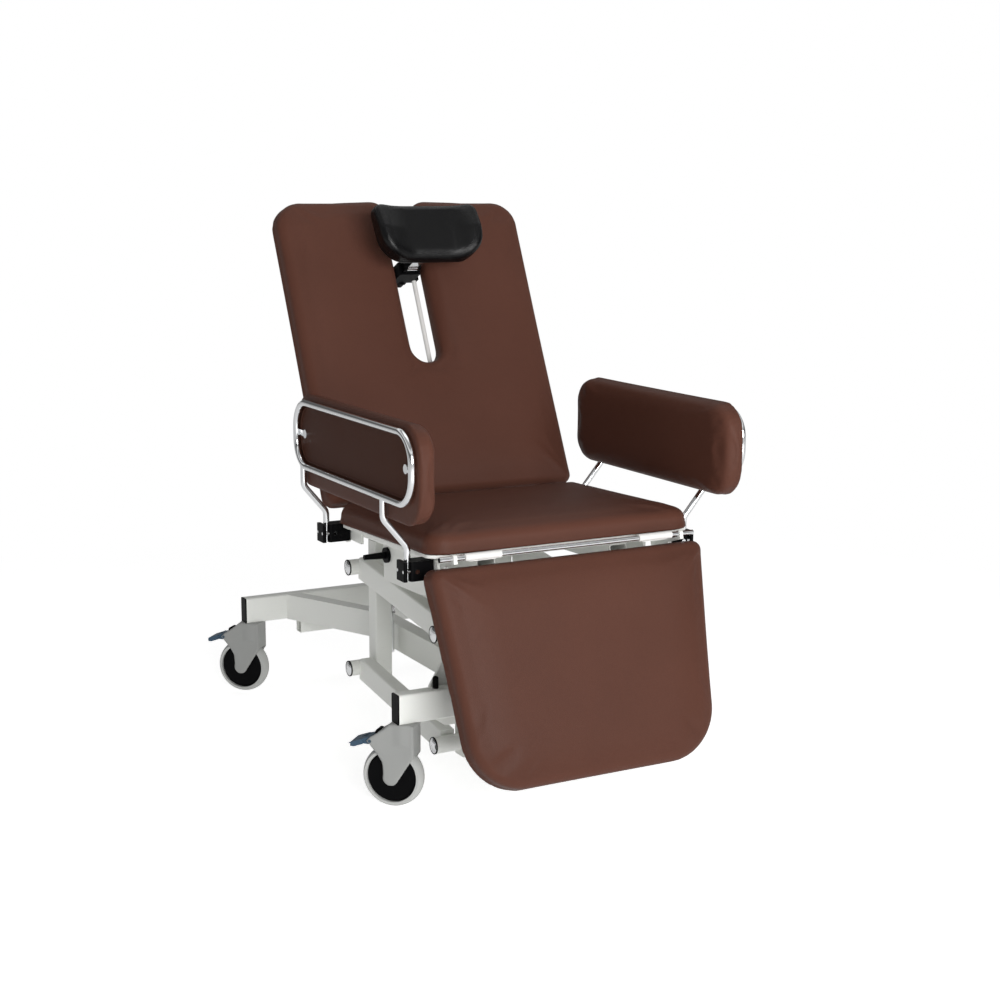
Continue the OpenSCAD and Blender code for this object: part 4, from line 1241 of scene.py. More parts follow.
class Repeats:
    """Geometry Nodes trees that set one small shape along a path or at chosen points."""

    def __init__(self, kit: Kit) -> None:
        """Builds both trees.

        Args:
            kit: The scene's materials.
        """
        self.kit = kit
        self.along = self.tree("along_a_path", True)
        self.dotted = self.tree("at_points", False)

    def tree(self, name: str, follow: bool) -> bpy.types.NodeTree:
        """Builds one tree.

        Args:
            name: The tree's name.
            follow: Whether the path is resampled at an even pitch.

        Returns:
            The tree, with the inputs Shape, Pitch and Finish.
        """
        tree = bpy.data.node_groups.new(name, "GeometryNodeTree")
        kinds = {"Geometry": "NodeSocketGeometry", "Shape": "NodeSocketObject", "Pitch": "NodeSocketFloat",
                 "Finish": "NodeSocketMaterial"}
        for key, kind in kinds.items():
            tree.interface.new_socket(key, in_out="INPUT", socket_type=kind)
        tree.interface.new_socket("Geometry", in_out="OUTPUT", socket_type="NodeSocketGeometry")
        new, link = tree.nodes.new, tree.links.new
        given, end = new("NodeGroupInput"), new("NodeGroupOutput")
        points = given.outputs["Geometry"]
        if follow:
            curve, even = new("GeometryNodeMeshToCurve"), new("GeometryNodeResampleCurve")
            even.mode = "LENGTH"
            link(points, curve.inputs[0])
            link(curve.outputs[0], even.inputs["Curve"])
            link(given.outputs["Pitch"], even.inputs["Length"])
            points = even.outputs[0]
        turn = None
        for axis, pivot, key in (("Z", "AUTO", "out"), ("X", "Z", "ahead")):
            align = new("FunctionNodeAlignRotationToVector")
            align.axis, align.pivot_axis = axis, pivot
            stored = new("GeometryNodeInputNamedAttribute")
            stored.data_type = "FLOAT_VECTOR"
            stored.inputs["Name"].default_value = key
            link(stored.outputs[0], align.inputs["Vector"])
            if turn is not None:
                link(turn, align.inputs["Rotation"])
            turn = align.outputs[0]
        shape, put = new("GeometryNodeObjectInfo"), new("GeometryNodeInstanceOnPoints")
        link(given.outputs["Shape"], shape.inputs["Object"])
        link(points, put.inputs["Points"])
        link(shape.outputs["Geometry"], put.inputs["Instance"])
        link(turn, put.inputs["Rotation"])
        real, coat = new("GeometryNodeRealizeInstances"), new("GeometryNodeSetMaterial")
        link(put.outputs[0], real.inputs[0])
        link(real.outputs[0], coat.inputs["Geometry"])
        link(given.outputs["Finish"], coat.inputs["Material"])
        link(coat.outputs[0], end.inputs[0])
        return tree

    def build(self, name: str, body: str, path: Sequence[Vector], out: Sequence[Vector],
              shape: bpy.types.Mesh, look: Look, pitch: float | None = None,
              closed: bool = False) -> bpy.types.Object:
        """Makes one piece of many equal shapes.

        Args:
            name: The piece's name.
            body: The body that it rides on.
            path: The path's points, or the places of the shapes.
            out: The way out of the surface at each point.
            shape: The shape, its foot at the origin and its head up Z; it is used up.
            look: The finish.
            pitch: The distance between shapes along the path, or None for one at each point.
            closed: Whether the path is a loop.

        Returns:
            The piece.
        """
        n = len(path)
        lines = [] if pitch is None else [(i, (i + 1) % n) for i in range(n if closed else n - 1)]
        mesh = bpy.data.meshes.new("path")
        mesh.from_pydata([tuple(p) for p in path], lines, [])
        ahead = [(path[(i + 1) % n] - path[i - 1]) if n > 2 else X for i in range(n)]
        for key, values in (("out", out), ("ahead", ahead)):
            layer = mesh.attributes.new(key, "FLOAT_VECTOR", "POINT")
            layer.data.foreach_set("vector", [c for v in values for c in v])
        one, thing = put_in_scene("shape", shape), put_in_scene("path", mesh)
        modifier = thing.modifiers.new("repeat", "NODES")
        modifier.node_group = self.along if pitch is not None else self.dotted
        sockets = {item.name: item.identifier for item in modifier.node_group.interface.items_tree
                   if item.in_out == "INPUT"}
        modifier[sockets["Shape"]] = one
        modifier[sockets["Pitch"]] = pitch or 0.0
        modifier[sockets["Finish"]] = self.kit.materials[look]
        made = applied(thing)
        for extra in (one, thing):
            bpy.data.objects.remove(extra)
        return self.kit.piece(name, made, body, look)


@dataclass(frozen=True)
class PadSize:
    """A padded panel's sizes: its outline, its thickness, and how its foam is rounded and filled."""

    width: float
    length: float
    rear: float
    edge: float
    crown: float
    low_radius: float
    high_radius: float
    foot_width: float | None = None
    front_round: float = 17 * MM
    rear_round: float = 6 * MM
    dome: float = 110 * MM
    waist: float = 1.5 * MM
    shrink: float = 1.6 * MM
    swell: float = 4 * MM
    fill: float = 0.8
    step: float = 5.5 * MM


@dataclass
class Pad:
    """A padded panel: foam on a board under leatherette, in a local frame whose out axis is its face."""

    name: str
    body: str
    node: str
    place: Place
    size: PadSize
    look: Look = Look.LEATHER
    cut: Callable[[np.ndarray, np.ndarray], np.ndarray] | None = None
    cut_blend: float = 30 * MM
    held: float = 0.8
    edge_highlight_band: float = 26 * MM
    gather: float = 120 * MM

    def outline(self, u: np.ndarray, v: np.ndarray) -> np.ndarray:
        """Distance to the panel's outline, with its sides drawn in a little between the corners.

        Args:
            u: Distance across from the middle.
            v: Distance along from the middle.

        Returns:
            The distance, negative inside.
        """
        size = self.size
        share = np.clip(v / size.length + 0.5, 0, 1)
        foot = size.foot_width or size.width
        half = (foot + (size.width - foot) * share) / 2 - size.shrink
        half = half - size.waist * np.sin(math.pi * share) ** 2
        shape = rounded_outline(u, v, (half, size.length / 2 - size.shrink), size.low_radius, size.high_radius)
        if self.cut is not None:
            shape = soft_max(shape, -self.cut(u, v) + size.shrink, self.cut_blend)
        return shape

    def depth(self, flat: np.ndarray) -> np.ndarray:
        """The panel's thickness: full at the edge, then a soft dome.

        Args:
            flat: Distance to the outline.

        Returns:
            The thickness.
        """
        rise = 1 - np.clip(1 + flat / self.size.dome, 0, 1) ** 2
        return self.size.edge - self.size.shrink + self.size.crown * rise

    def rounded(self, flat: np.ndarray, w: np.ndarray, full: np.ndarray) -> np.ndarray:
        """Distance to a slab whose front edge is rounder than its rear.

        Args:
            flat: Distance to the outline.
            w: Height over the board.
            full: The slab's thickness.

        Returns:
            The distance, negative inside.
        """
        radius = np.where(w > full / 2, self.size.front_round, self.size.rear_round)
        return rounded_corner(flat, np.abs(w - full / 2) - full / 2, radius)

    def field(self, u: np.ndarray, v: np.ndarray, w: np.ndarray) -> np.ndarray:
        """Distance to the panel's surface.

        Args:
            u: Distance across from the middle.
            v: Distance along from the middle.
            w: Height over the board.

        Returns:
            The distance, negative inside.
        """
        flat = self.outline(u, v)
        return self.rounded(flat, w, self.depth(flat))

    def cover(self) -> bpy.types.Mesh:
        """The swollen cover in the chair's frame.

        Returns:
            The mesh.
        """
        size = self.size
        half, tall = max(size.width, size.foot_width or 0) / 2, size.length / 2
        mesh = skin(self.field, (-half, -tall, 0), (half, tall, size.edge + size.crown), size.step)
        mesh = swollen(mesh, size.swell, size.rear_round * self.held)
        mesh = with_modifier(mesh, "SUBSURF", levels=1, render_levels=1)
        u, v, w = coordinates(mesh).T
        height = w / size.edge
        # The edge's painted highlight comes in from 0.3 to 0.8 of its height; the gathers fade out by 0.7 of it.
        # This mask paints a highlight on the rim of the pad's face.
        edge_highlight_mask = np.clip(1 + self.outline(u, v) / self.edge_highlight_band, 0, 1) * np.clip(height * 2 - 0.6, 0, 1)
        marked(mesh, "edge", edge_highlight_mask)
        marked(mesh, "pucker", self.corner_share(u, v) * np.clip(1 - height * 1.4, 0, 1))
        mesh.transform(self.place.moved(0, 0, size.rear).matrix())
        return mesh

    def corner_share(self, u: np.ndarray, v: np.ndarray) -> np.ndarray:
        """How near points are to a corner, where the cover is gathered.

        Args:
            u: Distance across from the middle.
            v: Distance along from the middle.

        Returns:
            A share from 0 to 1.
        """
        size = self.size
        gap = np.hypot(np.abs(u) - size.width / 2 + size.high_radius, np.abs(v) - size.length / 2 + size.low_radius)
        return np.clip(1 - gap / self.gather, 0, 1)

    def build(self, kit: Kit) -> bpy.types.Object:
        """Makes the pad in place of its CAD node.

        Args:
            kit: The scene's materials.

        Returns:
            The pad.
        """
        pad = kit.piece(self.name, self.cover(), self.body, self.look, replaces=(self.node,))
        return pad


@dataclass(frozen=True)
class SoftBox:
    """A soft box that shines on the middle of the chair."""

    name: str
    where: tuple[float, float, float]
    size: Pair
    power: float
    aim: tuple[float, float, float] = (0.0, 0.0, 0.5)

    def build(self) -> None:
        """Adds the light."""
        data = bpy.data.lights.new(self.name, "AREA")
        data.shape = "RECTANGLE"
        data.size, data.size_y = self.size
        data.energy = self.power
        lamp = put_in_scene(self.name, data)
        lamp.location = self.where
        lamp.rotation_euler = (Vector(self.aim) - Vector(self.where)).to_track_quat("-Z", "Y").to_euler()


@dataclass
class Studio:
    """The camera, the lights and the floor."""

    eye: tuple[float, float, float] = (-1.617734, -3.175471, 1.198084)
    turn: float = math.radians(-28.3104)
    tip: float = math.radians(10.6575)
    roll: float = math.radians(-0.24598)
    lens: float = 59.878
    sensor: float = 36.0
    fill: tuple[Pair, ...] = ((0.0, 0.40), (0.5, 0.30), (1.0, 0.22))
    bands: tuple[Pair, ...] = ((0.0, 0.25), (0.44, 0.10), (0.49, 0.02), (0.53, 0.60), (0.58, 0.08), (0.70, 0.12),
                               (0.78, 0.95), (0.88, 0.25), (1.0, 0.5))
    boxes: tuple[SoftBox, ...] = (SoftBox("key", (-0.3, -4.9, 1.6), (3.4, 1.8), 190.0),
                                  SoftBox("top", (0.2, 0.2, 3.6), (2.4, 2.4), 14.0))
    near: float = 1.4
    far: float = 2.3
    glow: float = 0.72
    bounce: float = 0.30
    floor_rings: tuple[float, ...] = (0.6, 2.0, 6.0, 30.0)
    facets: int = 96
    floor_tones: Pair = (0.80, 0.84)

    def camera(self) -> None:
        """Sets the camera where the photograph was taken from."""
        level = math.cos(self.tip)
        ahead = Vector((-math.sin(self.turn) * level, math.cos(self.turn) * level, -math.sin(self.tip)))
        side = Vector((math.cos(self.turn), math.sin(self.turn), 0))
        down = ahead.cross(side)
        right = side * math.cos(self.roll) + down * math.sin(self.roll)
        down = down * math.cos(self.roll) - side * math.sin(self.roll)
        data = bpy.data.cameras.new("camera")
        data.lens = self.lens
        data.sensor_width = self.sensor
        camera = put_in_scene("camera", data)
        camera.matrix_world = frame_matrix(Vector(self.eye), right, -down, -ahead)
        bpy.context.scene.camera = camera

    def by_ray(self, g: Graph, kind: str, other: object, seen: object) -> bpy.types.NodeSocket:
        """A shader that shows rays of one kind something of their own.

        Args:
            g: The graph.
            kind: The ray's kind, as the Light Path node names it.
            other: The shader's socket for every other ray.
            seen: The shader's socket for rays of the kind.

        Returns:
            The shader's socket.
        """
        share = g.add("LightPath").outputs[kind]
        return g.add("MixShader", None, _0=share, _1=other, _2=seen).outputs[0]

    def sky(self) -> None:
        """White behind the chair, and a grey room with dark and bright bands for the metal to reflect."""
        world = bpy.data.worlds.new("studio")
        bpy.context.scene.world = world
        world.use_nodes = True
        nodes = world.node_tree.nodes
        nodes.remove(nodes["Background"])
        g = Graph(world.node_tree)
        up = g.add("SeparateXYZ", None, Vector=g.add("TexCoord").outputs["Generated"]).outputs[2]
        height = g.add("Math", {"operation": "MULTIPLY_ADD"}, _0=up, _1=0.5, _2=0.5).outputs[0]
        glossy = g.add("LightPath").outputs["Is Glossy Ray"]
        room = g.mix(glossy, g.ramp(height, self.fill), g.ramp(height, self.bands))
        lit = g.add("Background", None, Color=room, Strength=1.0).outputs[0]
        plain = g.add("Background", None, Color=WHITE, Strength=1.0).outputs[0]
        g.plug(nodes["World Output"].inputs["Surface"], self.by_ray(g, "Is Camera Ray", lit, plain))

    def floor_material(self) -> bpy.types.Material:
        """A pale floor for the chair's light, which the camera sees fade to white.

        Returns:
            The material.
        """
        material = bpy.data.materials.new("pale_floor")
        material.use_nodes = True
        nodes = material.node_tree.nodes
        nodes.remove(nodes["Principled BSDF"])
        g = Graph(material.node_tree)
        mottle = g.mix(g.noise(2.0, 3.0), *((tone, tone, tone, 1.0) for tone in self.floor_tones))
        matt = g.add("BsdfDiffuse", None, Color=mottle).outputs[0]
        plain, glow, bounce = (g.add("Emission", None, Color=WHITE, Strength=strength).outputs[0]
                               for strength in (1.0, self.glow, self.bounce))
        near, other = (g.add("AddShader", None, _0=matt, _1=light).outputs[0] for light in (glow, bounce))
        reach = g.add("VectorMath", {"operation": "LENGTH"}, _0=g.place()).outputs["Value"]
        share = g.add("MapRange", None, Value=reach, From_Min=self.near, From_Max=self.far).outputs[0]
        faded = g.add("MixShader", None, _0=share, _1=near, _2=plain).outputs[0]
        g.plug(nodes["Material Output"].inputs["Surface"], self.by_ray(g, "Is Camera Ray", other, faded))
        return material

    def floor(self) -> None:
        """Lays a pale floor that keeps soft contact shadows and melts into the white behind."""
        n, rings = self.facets, self.floor_rings
        turn = [math.tau * i / n for i in range(n)]
        points = [Vector((math.cos(t) * r, math.sin(t) * r, 0)) for r in rings for t in turn] + [Vector((0, 0, 0))]
        faces = ring_faces(n, len(rings)) + [(n * len(rings), j, (j + 1) % n) for j in range(n)]
        mesh = bpy.data.meshes.new("floor")
        mesh.from_pydata(points, [], faces)
        mesh.materials.append(self.floor_material())
        put_in_scene("floor", mesh)

    def build(self) -> None:
        """Makes the studio."""
        self.camera()
        self.sky()
        for box in self.boxes:
            box.build()
        self.floor()
        bpy.context.scene.view_settings.view_transform = "Standard"
        LOG.info("studio ready")


@dataclass
class Steelwork:
    """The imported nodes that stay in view: each gets its finish and softened edges."""

    crisp: float = math.radians(28)
    weld: float = 0.004 * MM

    def softener(self) -> bpy.types.NodeTree:
        """The node tree that joins a node's loose triangles and shades its round faces smooth.

        Returns:
            The tree.
        """
        tree = bpy.data.node_groups.new("soft_edges", "GeometryNodeTree")
        tree.interface.new_socket("Geometry", in_out="INPUT", socket_type="NodeSocketGeometry")
        tree.interface.new_socket("Geometry", in_out="OUTPUT", socket_type="NodeSocketGeometry")
        start, end = tree.nodes.new("NodeGroupInput"), tree.nodes.new("NodeGroupOutput")
        weld = tree.nodes.new("GeometryNodeMergeByDistance")
        weld.inputs["Distance"].default_value = self.weld
        faces = tree.nodes.new("GeometryNodeSetShadeSmooth")
        edges = tree.nodes.new("GeometryNodeSetShadeSmooth")
        edges.domain = "EDGE"
        angle = tree.nodes.new("GeometryNodeInputMeshEdgeAngle")
        small = tree.nodes.new("FunctionNodeCompare")
        small.data_type = "FLOAT"
        small.operation = "LESS_THAN"
        small.inputs[1].default_value = self.crisp
        for a, b in ((start.outputs[0], weld.inputs[0]), (weld.outputs[0], faces.inputs[0]),
                     (faces.outputs[0], edges.inputs[0]), (angle.outputs[0], small.inputs[0]),
                     (small.outputs[0], edges.inputs["Shade Smooth"]), (edges.outputs[0], end.inputs[0])):
            tree.links.new(a, b)
        return tree

    def build(self, kit: Kit) -> None:
        """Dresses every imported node.

        Args:
            kit: The scene's materials.
        """
        slots = {part["node"]: part["material_slot"] for part in frame["record"]["subparts"]}
        tree = self.softener()
        for name, node in frame["nodes"].items():
            material = kit.materials[look_of(slots[name])]
            if not node.material_slots:
                node.data.materials.append(material)
            for place in node.material_slots:
                place.link = "OBJECT"
                place.material = material
            node.modifiers.new("soft_edges", "NODES").node_group = tree
            LOG.info("%s: %s", name, material.name)


def tapered_rim(top: float, foot: float, length: float, low_radius: float, high_radius: float,
                slot: Pair | None = None) -> list[Pair]:
    """The outline of a panel's backing board about its middle.

    Args:
        top: Half its width at the top.
        foot: Half its width at the foot.
        length: Half its length.
        low_radius: Its lower corners' radius.
        high_radius: Its upper corners' radius.
        slot: A slot's half width and the height of its round end's centre, or None.

    Returns:
        The outline, anticlockwise from the foot.
    """
    right = arc((foot - low_radius, low_radius - length), low_radius, -90, 0)
    right += arc((top - high_radius, length - high_radius), high_radius, 0, 90)
    left = [(-x, y) for x, y in reversed(right)]
    if slot is None:
        return right + left
    half, end = slot
    return [*right, (half, length), *arc((0, end), half, 0, -180, 20), (-half, length), *left]


def surface_at(node: str, start: Vector, way: Vector) -> tuple[Vector, Vector] | None:
    """Where a straight line meets a CAD node.

    Args:
        node: The node.
        start: The line's start.
        way: Its direction.

    Returns:
        The nearest point met and the surface's normal there, or None.
    """
    mesh = frame["nodes"][node].data
    tree = BVHTree.FromPolygons([v.co for v in mesh.vertices], [tuple(f.vertices) for f in mesh.polygons])
    place, normal, _, _ = tree.ray_cast(start, way)
    return None if place is None else (place, normal)


def screw_head(radius: float = 4.8 * MM, height: float = 2.8 * MM) -> bpy.types.Mesh:
    """A button-head socket screw's head, its foot at the origin.

    Args:
        radius: Its radius.
        height: Its height.

    Returns:
        The mesh.
    """
    profile = ((0, 0), (1, 0), (0.93, 0.5), (0.66, 0.9), (0.44, 1), (0.4, 0.4), (0, 0.4))
    return lathe([(r * radius, z * height) for r, z in profile], BENCH, 12)


@dataclass
class Backing:
    """A pad's rear: a black cloth over its board, staples round the cloth, and screws through the frame's rails."""

    name: str
    body: str
    frame_node: str
    place: Place
    rim: Callable[[float], list[Pair]]
    screw_column: float
    screw_rows: Sequence[float]
    thickness: float = 0.28 * MM
    hem: float = 24 * MM
    staple_line: float = 30 * MM
    pitch: float = 34 * MM
    staple: tuple[float, float, float] = (10 * MM, 1.1 * MM, 0.7 * MM)
    bite: float = 0.2 * MM
    reach: float = 120 * MM
    squareness: float = 0.9

    def build(self, kit: Kit, repeats: Repeats) -> None:
        """Makes the cloth, its staples and the screws.

        Args:
            kit: The scene's materials.
            repeats: The trees for repeated shapes.
        """
        cloth = sheet_of(self.rim(self.hem), self.thickness, self.place.moved(0, 0, -self.thickness))
        kit.piece(self.name + "_backing", cloth, self.body, Look.CLOTH, smooth=False)
        rear = -self.place.out
        path = [self.place.at(x, y, -self.thickness) for x, y in self.rim(self.staple_line)]
        crown = rounded_block(BENCH.moved(0, 0, self.bite), Vector(self.staple), self.bite, 1)
        repeats.build(self.name + "_staples", self.body, path, [rear] * len(path), crown, Look.STEEL,
                      self.pitch, closed=True)
        hits = [surface_at(self.frame_node, self.place.at(side.value * self.screw_column, row, -self.reach),
                           self.place.out) for side in Side for row in self.screw_rows]
        seats = [hit[0] for hit in hits if hit is not None and hit[1].dot(rear) > self.squareness]
        LOG.info("%s: %d of %d screws seated", self.name, len(seats), len(hits))
        if seats:
            repeats.build(self.name + "_screws", self.body, seats, [rear] * len(seats), screw_head(), Look.STEEL)


@dataclass
class BackRest:
    """The back's pad with its open slot, and the board behind it."""

    middle: float = 374.3 * MM
    size: PadSize = PadSize(width=608 * MM, length=702 * MM, rear=-36.5 * MM, edge=48.8 * MM, crown=12.2 * MM,
                            low_radius=24 * MM, high_radius=63 * MM, front_round=20 * MM, step=6.5 * MM)
    board_radius: float = 14 * MM
    slot_width: float = 70 * MM
    slot_end: float = 336 * MM
    screw_column: float = 243 * MM
    screw_rows: tuple[float, ...] = (-260 * MM, -100 * MM, 60 * MM, 200 * MM)

    def slot(self, u: np.ndarray, v: np.ndarray) -> np.ndarray:
        """Distance to the open slot, negative inside it.

        Args:
            u: Distance across from the pad's middle.
            v: Distance along from the pad's middle.

        Returns:
            The distance.
        """
        half = self.slot_width / 2
        v = v + self.middle
        down = np.maximum(self.slot_end + half - v, 0)
        return np.hypot(u, down) - half

    def rim(self, inset: float) -> list[Pair]:
        """The outline of the board, or of a line inside it.

        Args:
            inset: How far inside the pad's outline it runs.

        Returns:
            The outline about the pad's middle.
        """
        half, tall, slot = self.size.width / 2 - inset, self.size.length / 2 - inset, self.slot_width / 2
        return tapered_rim(half, half, tall, self.board_radius, self.size.high_radius - inset,
                           (slot + inset, self.slot_end + slot - self.middle))

    def build(self, kit: Kit, repeats: Repeats) -> None:
        """Makes the pad and its rear.

        Args:
            kit: The scene's materials.
            repeats: The trees for repeated shapes.
        """
        Pad("back_cushion", "backrest", "back_pad", BACK.moved(0, self.middle), self.size, cut=self.slot).build(kit)
        Backing("back", "backrest", "back_frame", BACK.moved(0, self.middle, self.size.rear), self.rim,
                self.screw_column, self.screw_rows).build(kit, repeats)


@dataclass
class Seat:
    """The seat's pad."""

    size: PadSize = PadSize(width=600 * MM, length=457 * MM, rear=0.3 * MM, edge=40 * MM, crown=16 * MM,
                            low_radius=45.7 * MM, high_radius=22.9 * MM, front_round=19 * MM, dome=150 * MM)

    def build(self, kit: Kit) -> None:
        """Makes the pad.

        Args:
            kit: The scene's materials.
        """
        place = SEAT.moved(0, -self.size.length / 2)
        Pad("seat_cushion", "carriage", "seat_pad", place, self.size).build(kit)


@dataclass
class LegRest:
    """The leg pad, and the board behind it."""

    middle: float = -230.5 * MM
    size: PadSize = PadSize(width=622 * MM, length=439 * MM, rear=-40.7 * MM, edge=47 * MM, crown=14 * MM,
                            low_radius=104.5 * MM, high_radius=24 * MM, foot_width=540 * MM)
    board_radius: float = 10 * MM
    screw_column: float = 200 * MM
    screw_rows: tuple[float, ...] = (-130 * MM, 0.0, 130 * MM)

    def rim(self, inset: float) -> list[Pair]:
        """The outline of the board, or of a line inside it.

        Args:
            inset: How far inside the pad's outline it runs.

        Returns:
            The outline about the pad's middle.
        """
        size = self.size
        return tapered_rim(size.width / 2 - inset, size.foot_width / 2 - inset, size.length / 2 - inset,
                           size.low_radius - inset, self.board_radius)

    def build(self, kit: Kit, repeats: Repeats) -> None:
        """Makes the pad and its rear.

        Args:
            kit: The scene's materials.
            repeats: The trees for repeated shapes.
        """
        Pad("leg_cushion", "legrest", "leg_pad", LEG.moved(0, self.middle), self.size).build(kit)
        Backing("leg", "legrest", "leg_frame", LEG.moved(0, self.middle, self.size.rear), self.rim,
                self.screw_column, self.screw_rows).build(kit, repeats)


@dataclass
class HeadCushion(Pad):
    """A pad hollowed between two side lobes that hold the head."""

    hollow: float = 0.35
    lobe_end: float = 0.92
    lobe_top: float = 0.25
    lobe_growth: float = 1.6
    narrowing: float = 9 * MM
    thinning: float = 4 * MM
    steepness: float = 0.85

    def drop(self, v: np.ndarray) -> np.ndarray:
        """How far down the cushion points are.

        Args:
            v: Distance along from the middle.

        Returns:
            A share from 0 at the top to 1 at the foot.
        """
        return np.clip(0.5 - v / self.size.length, 0, 1)

    def outline(self, u: np.ndarray, v: np.ndarray) -> np.ndarray:
        """Distance to an outline that narrows towards its large lower corners.

        Args:
            u: Distance across from the middle.
            v: Distance along from the middle.

        Returns:
            The distance, negative inside.
        """
        size = self.size
        half = size.width / 2 - self.narrowing * self.drop(v) ** 2
        return rounded_outline(u, v, (half, size.length / 2), size.low_radius, size.high_radius)

    def field(self, u: np.ndarray, v: np.ndarray, w: np.ndarray) -> np.ndarray:
        """Distance to the cushion's surface: thin in the middle, full at the lobes, tapered to its foot.

        Args:
            u: Distance across from the middle.
            v: Distance along from the middle.
            w: Height over the board.

        Returns:
            The distance, negative inside, a little less than true where the lobes are steep.
        """
        side = np.clip(np.abs(u) / (self.size.width / 2), 0, 1)
        share = np.clip((side - self.hollow) / (self.lobe_end - self.hollow), 0, 1)
        rise = (1 - np.cos(math.pi * share)) / 2
        down = self.drop(v)
        lobe = self.size.crown * rise * np.clip(self.lobe_top + self.lobe_growth * down, 0, 1)
        full = self.size.edge + lobe - self.thinning * down
        return self.rounded(self.outline(u, v), w, full) * self.steepness


@dataclass
class HeadRest:
    """The black headrest cushion and the shell that carries it."""

    aside: float = 4 * MM
    middle: float = 596 * MM
    size: PadSize = PadSize(width=250 * MM, length=134 * MM, rear=92.5 * MM, edge=30 * MM, crown=24 * MM,
                            low_radius=54 * MM, high_radius=22 * MM, front_round=14.5 * MM, rear_round=9 * MM,
                            swell=3 * MM, fill=0.7, step=4 * MM)
    shell_inset: Pair = (60 * MM, 44 * MM)
    shell_drop: float = 2 * MM
    shell_gap: float = 0.6 * MM
    shell_thickness: float = 3 * MM
    shell_round: float = 1.2 * MM

    def build(self, kit: Kit) -> None:
        """Makes the cushion and its shell.

        Args:
            kit: The scene's materials.
        """
        HeadCushion("head_cushion", "headrest", "headrest_pad", BACK.moved(self.aside, self.middle), self.size,
                    Look.BLACK_LEATHER).build(kit)
        place = BACK.moved(self.aside, self.middle - self.shell_drop, self.size.rear - self.shell_gap)
        shell = Vector((self.size.width - self.shell_inset[0], self.size.length - self.shell_inset[1],
                        self.shell_thickness))
        kit.piece("head_shell", rounded_block(place, shell, self.shell_round), "headrest", Look.BLACK)


@dataclass
class PivotRings:
    """The black sleeves' rims that frame the chrome caps of the lift's pivots."""

    inner: float = 15.7 * MM
    outer: float = 17.6 * MM
    proud: float = 2.4 * MM
    round_edge: Pair = (0.5 * MM, 0.6 * MM)
    outside: float = 300 * MM
    pins: tuple[tuple[str, str], ...] = (("front_pivot_pins", "base"), ("rear_pivot_pins", "carriage"))
    carriers: tuple[str, ...] = ("lower_arms", "upper_arms", "front_uprights", "rear_posts")

    def ring(self, side: Side, y: float, z: float) -> bpy.types.Mesh | None:
        """One ring, on the outermost arm, upright or post that carries its sleeve.

        Args:
            side: The chair's side.
            y: The pin's place along the chair.
            z: The pin's height.

        Returns:
            The ring, or None where nothing carries one.
        """
        out = X * side.value
        start = out * self.outside + Y * y + Z * (z + (self.inner + self.outer) / 2)
        hits = [surface_at(node, start, -out) for node in self.carriers]
        faces = [abs(hit[0].x) for hit in hits if hit is not None]
        if not faces:
            return None
        place = Place(out * max(faces) + Y * y + Z * z, Y, Z * side.value)
        across, up = self.round_edge
        return lathe([(self.inner, 0), (self.inner, self.proud), (self.outer - across, self.proud),
                      (self.outer, self.proud - up), (self.outer, 0)], place)

    def build(self, kit: Kit) -> None:
        """Makes a ring round each cap.

        Args:
            kit: The scene's materials.
        """
        for name, body in self.pins:
            low, high = box_of(name)
            y = (low.y + high.y) / 2
            radius = min(high.y - low.y, high.z - low.z) / 2
            rings = [self.ring(side, y, z) for z in (low.z + radius, high.z - radius) for side in Side]
            kit.piece(name + "_rings", joined(ring for ring in rings if ring is not None), body, Look.BLACK)


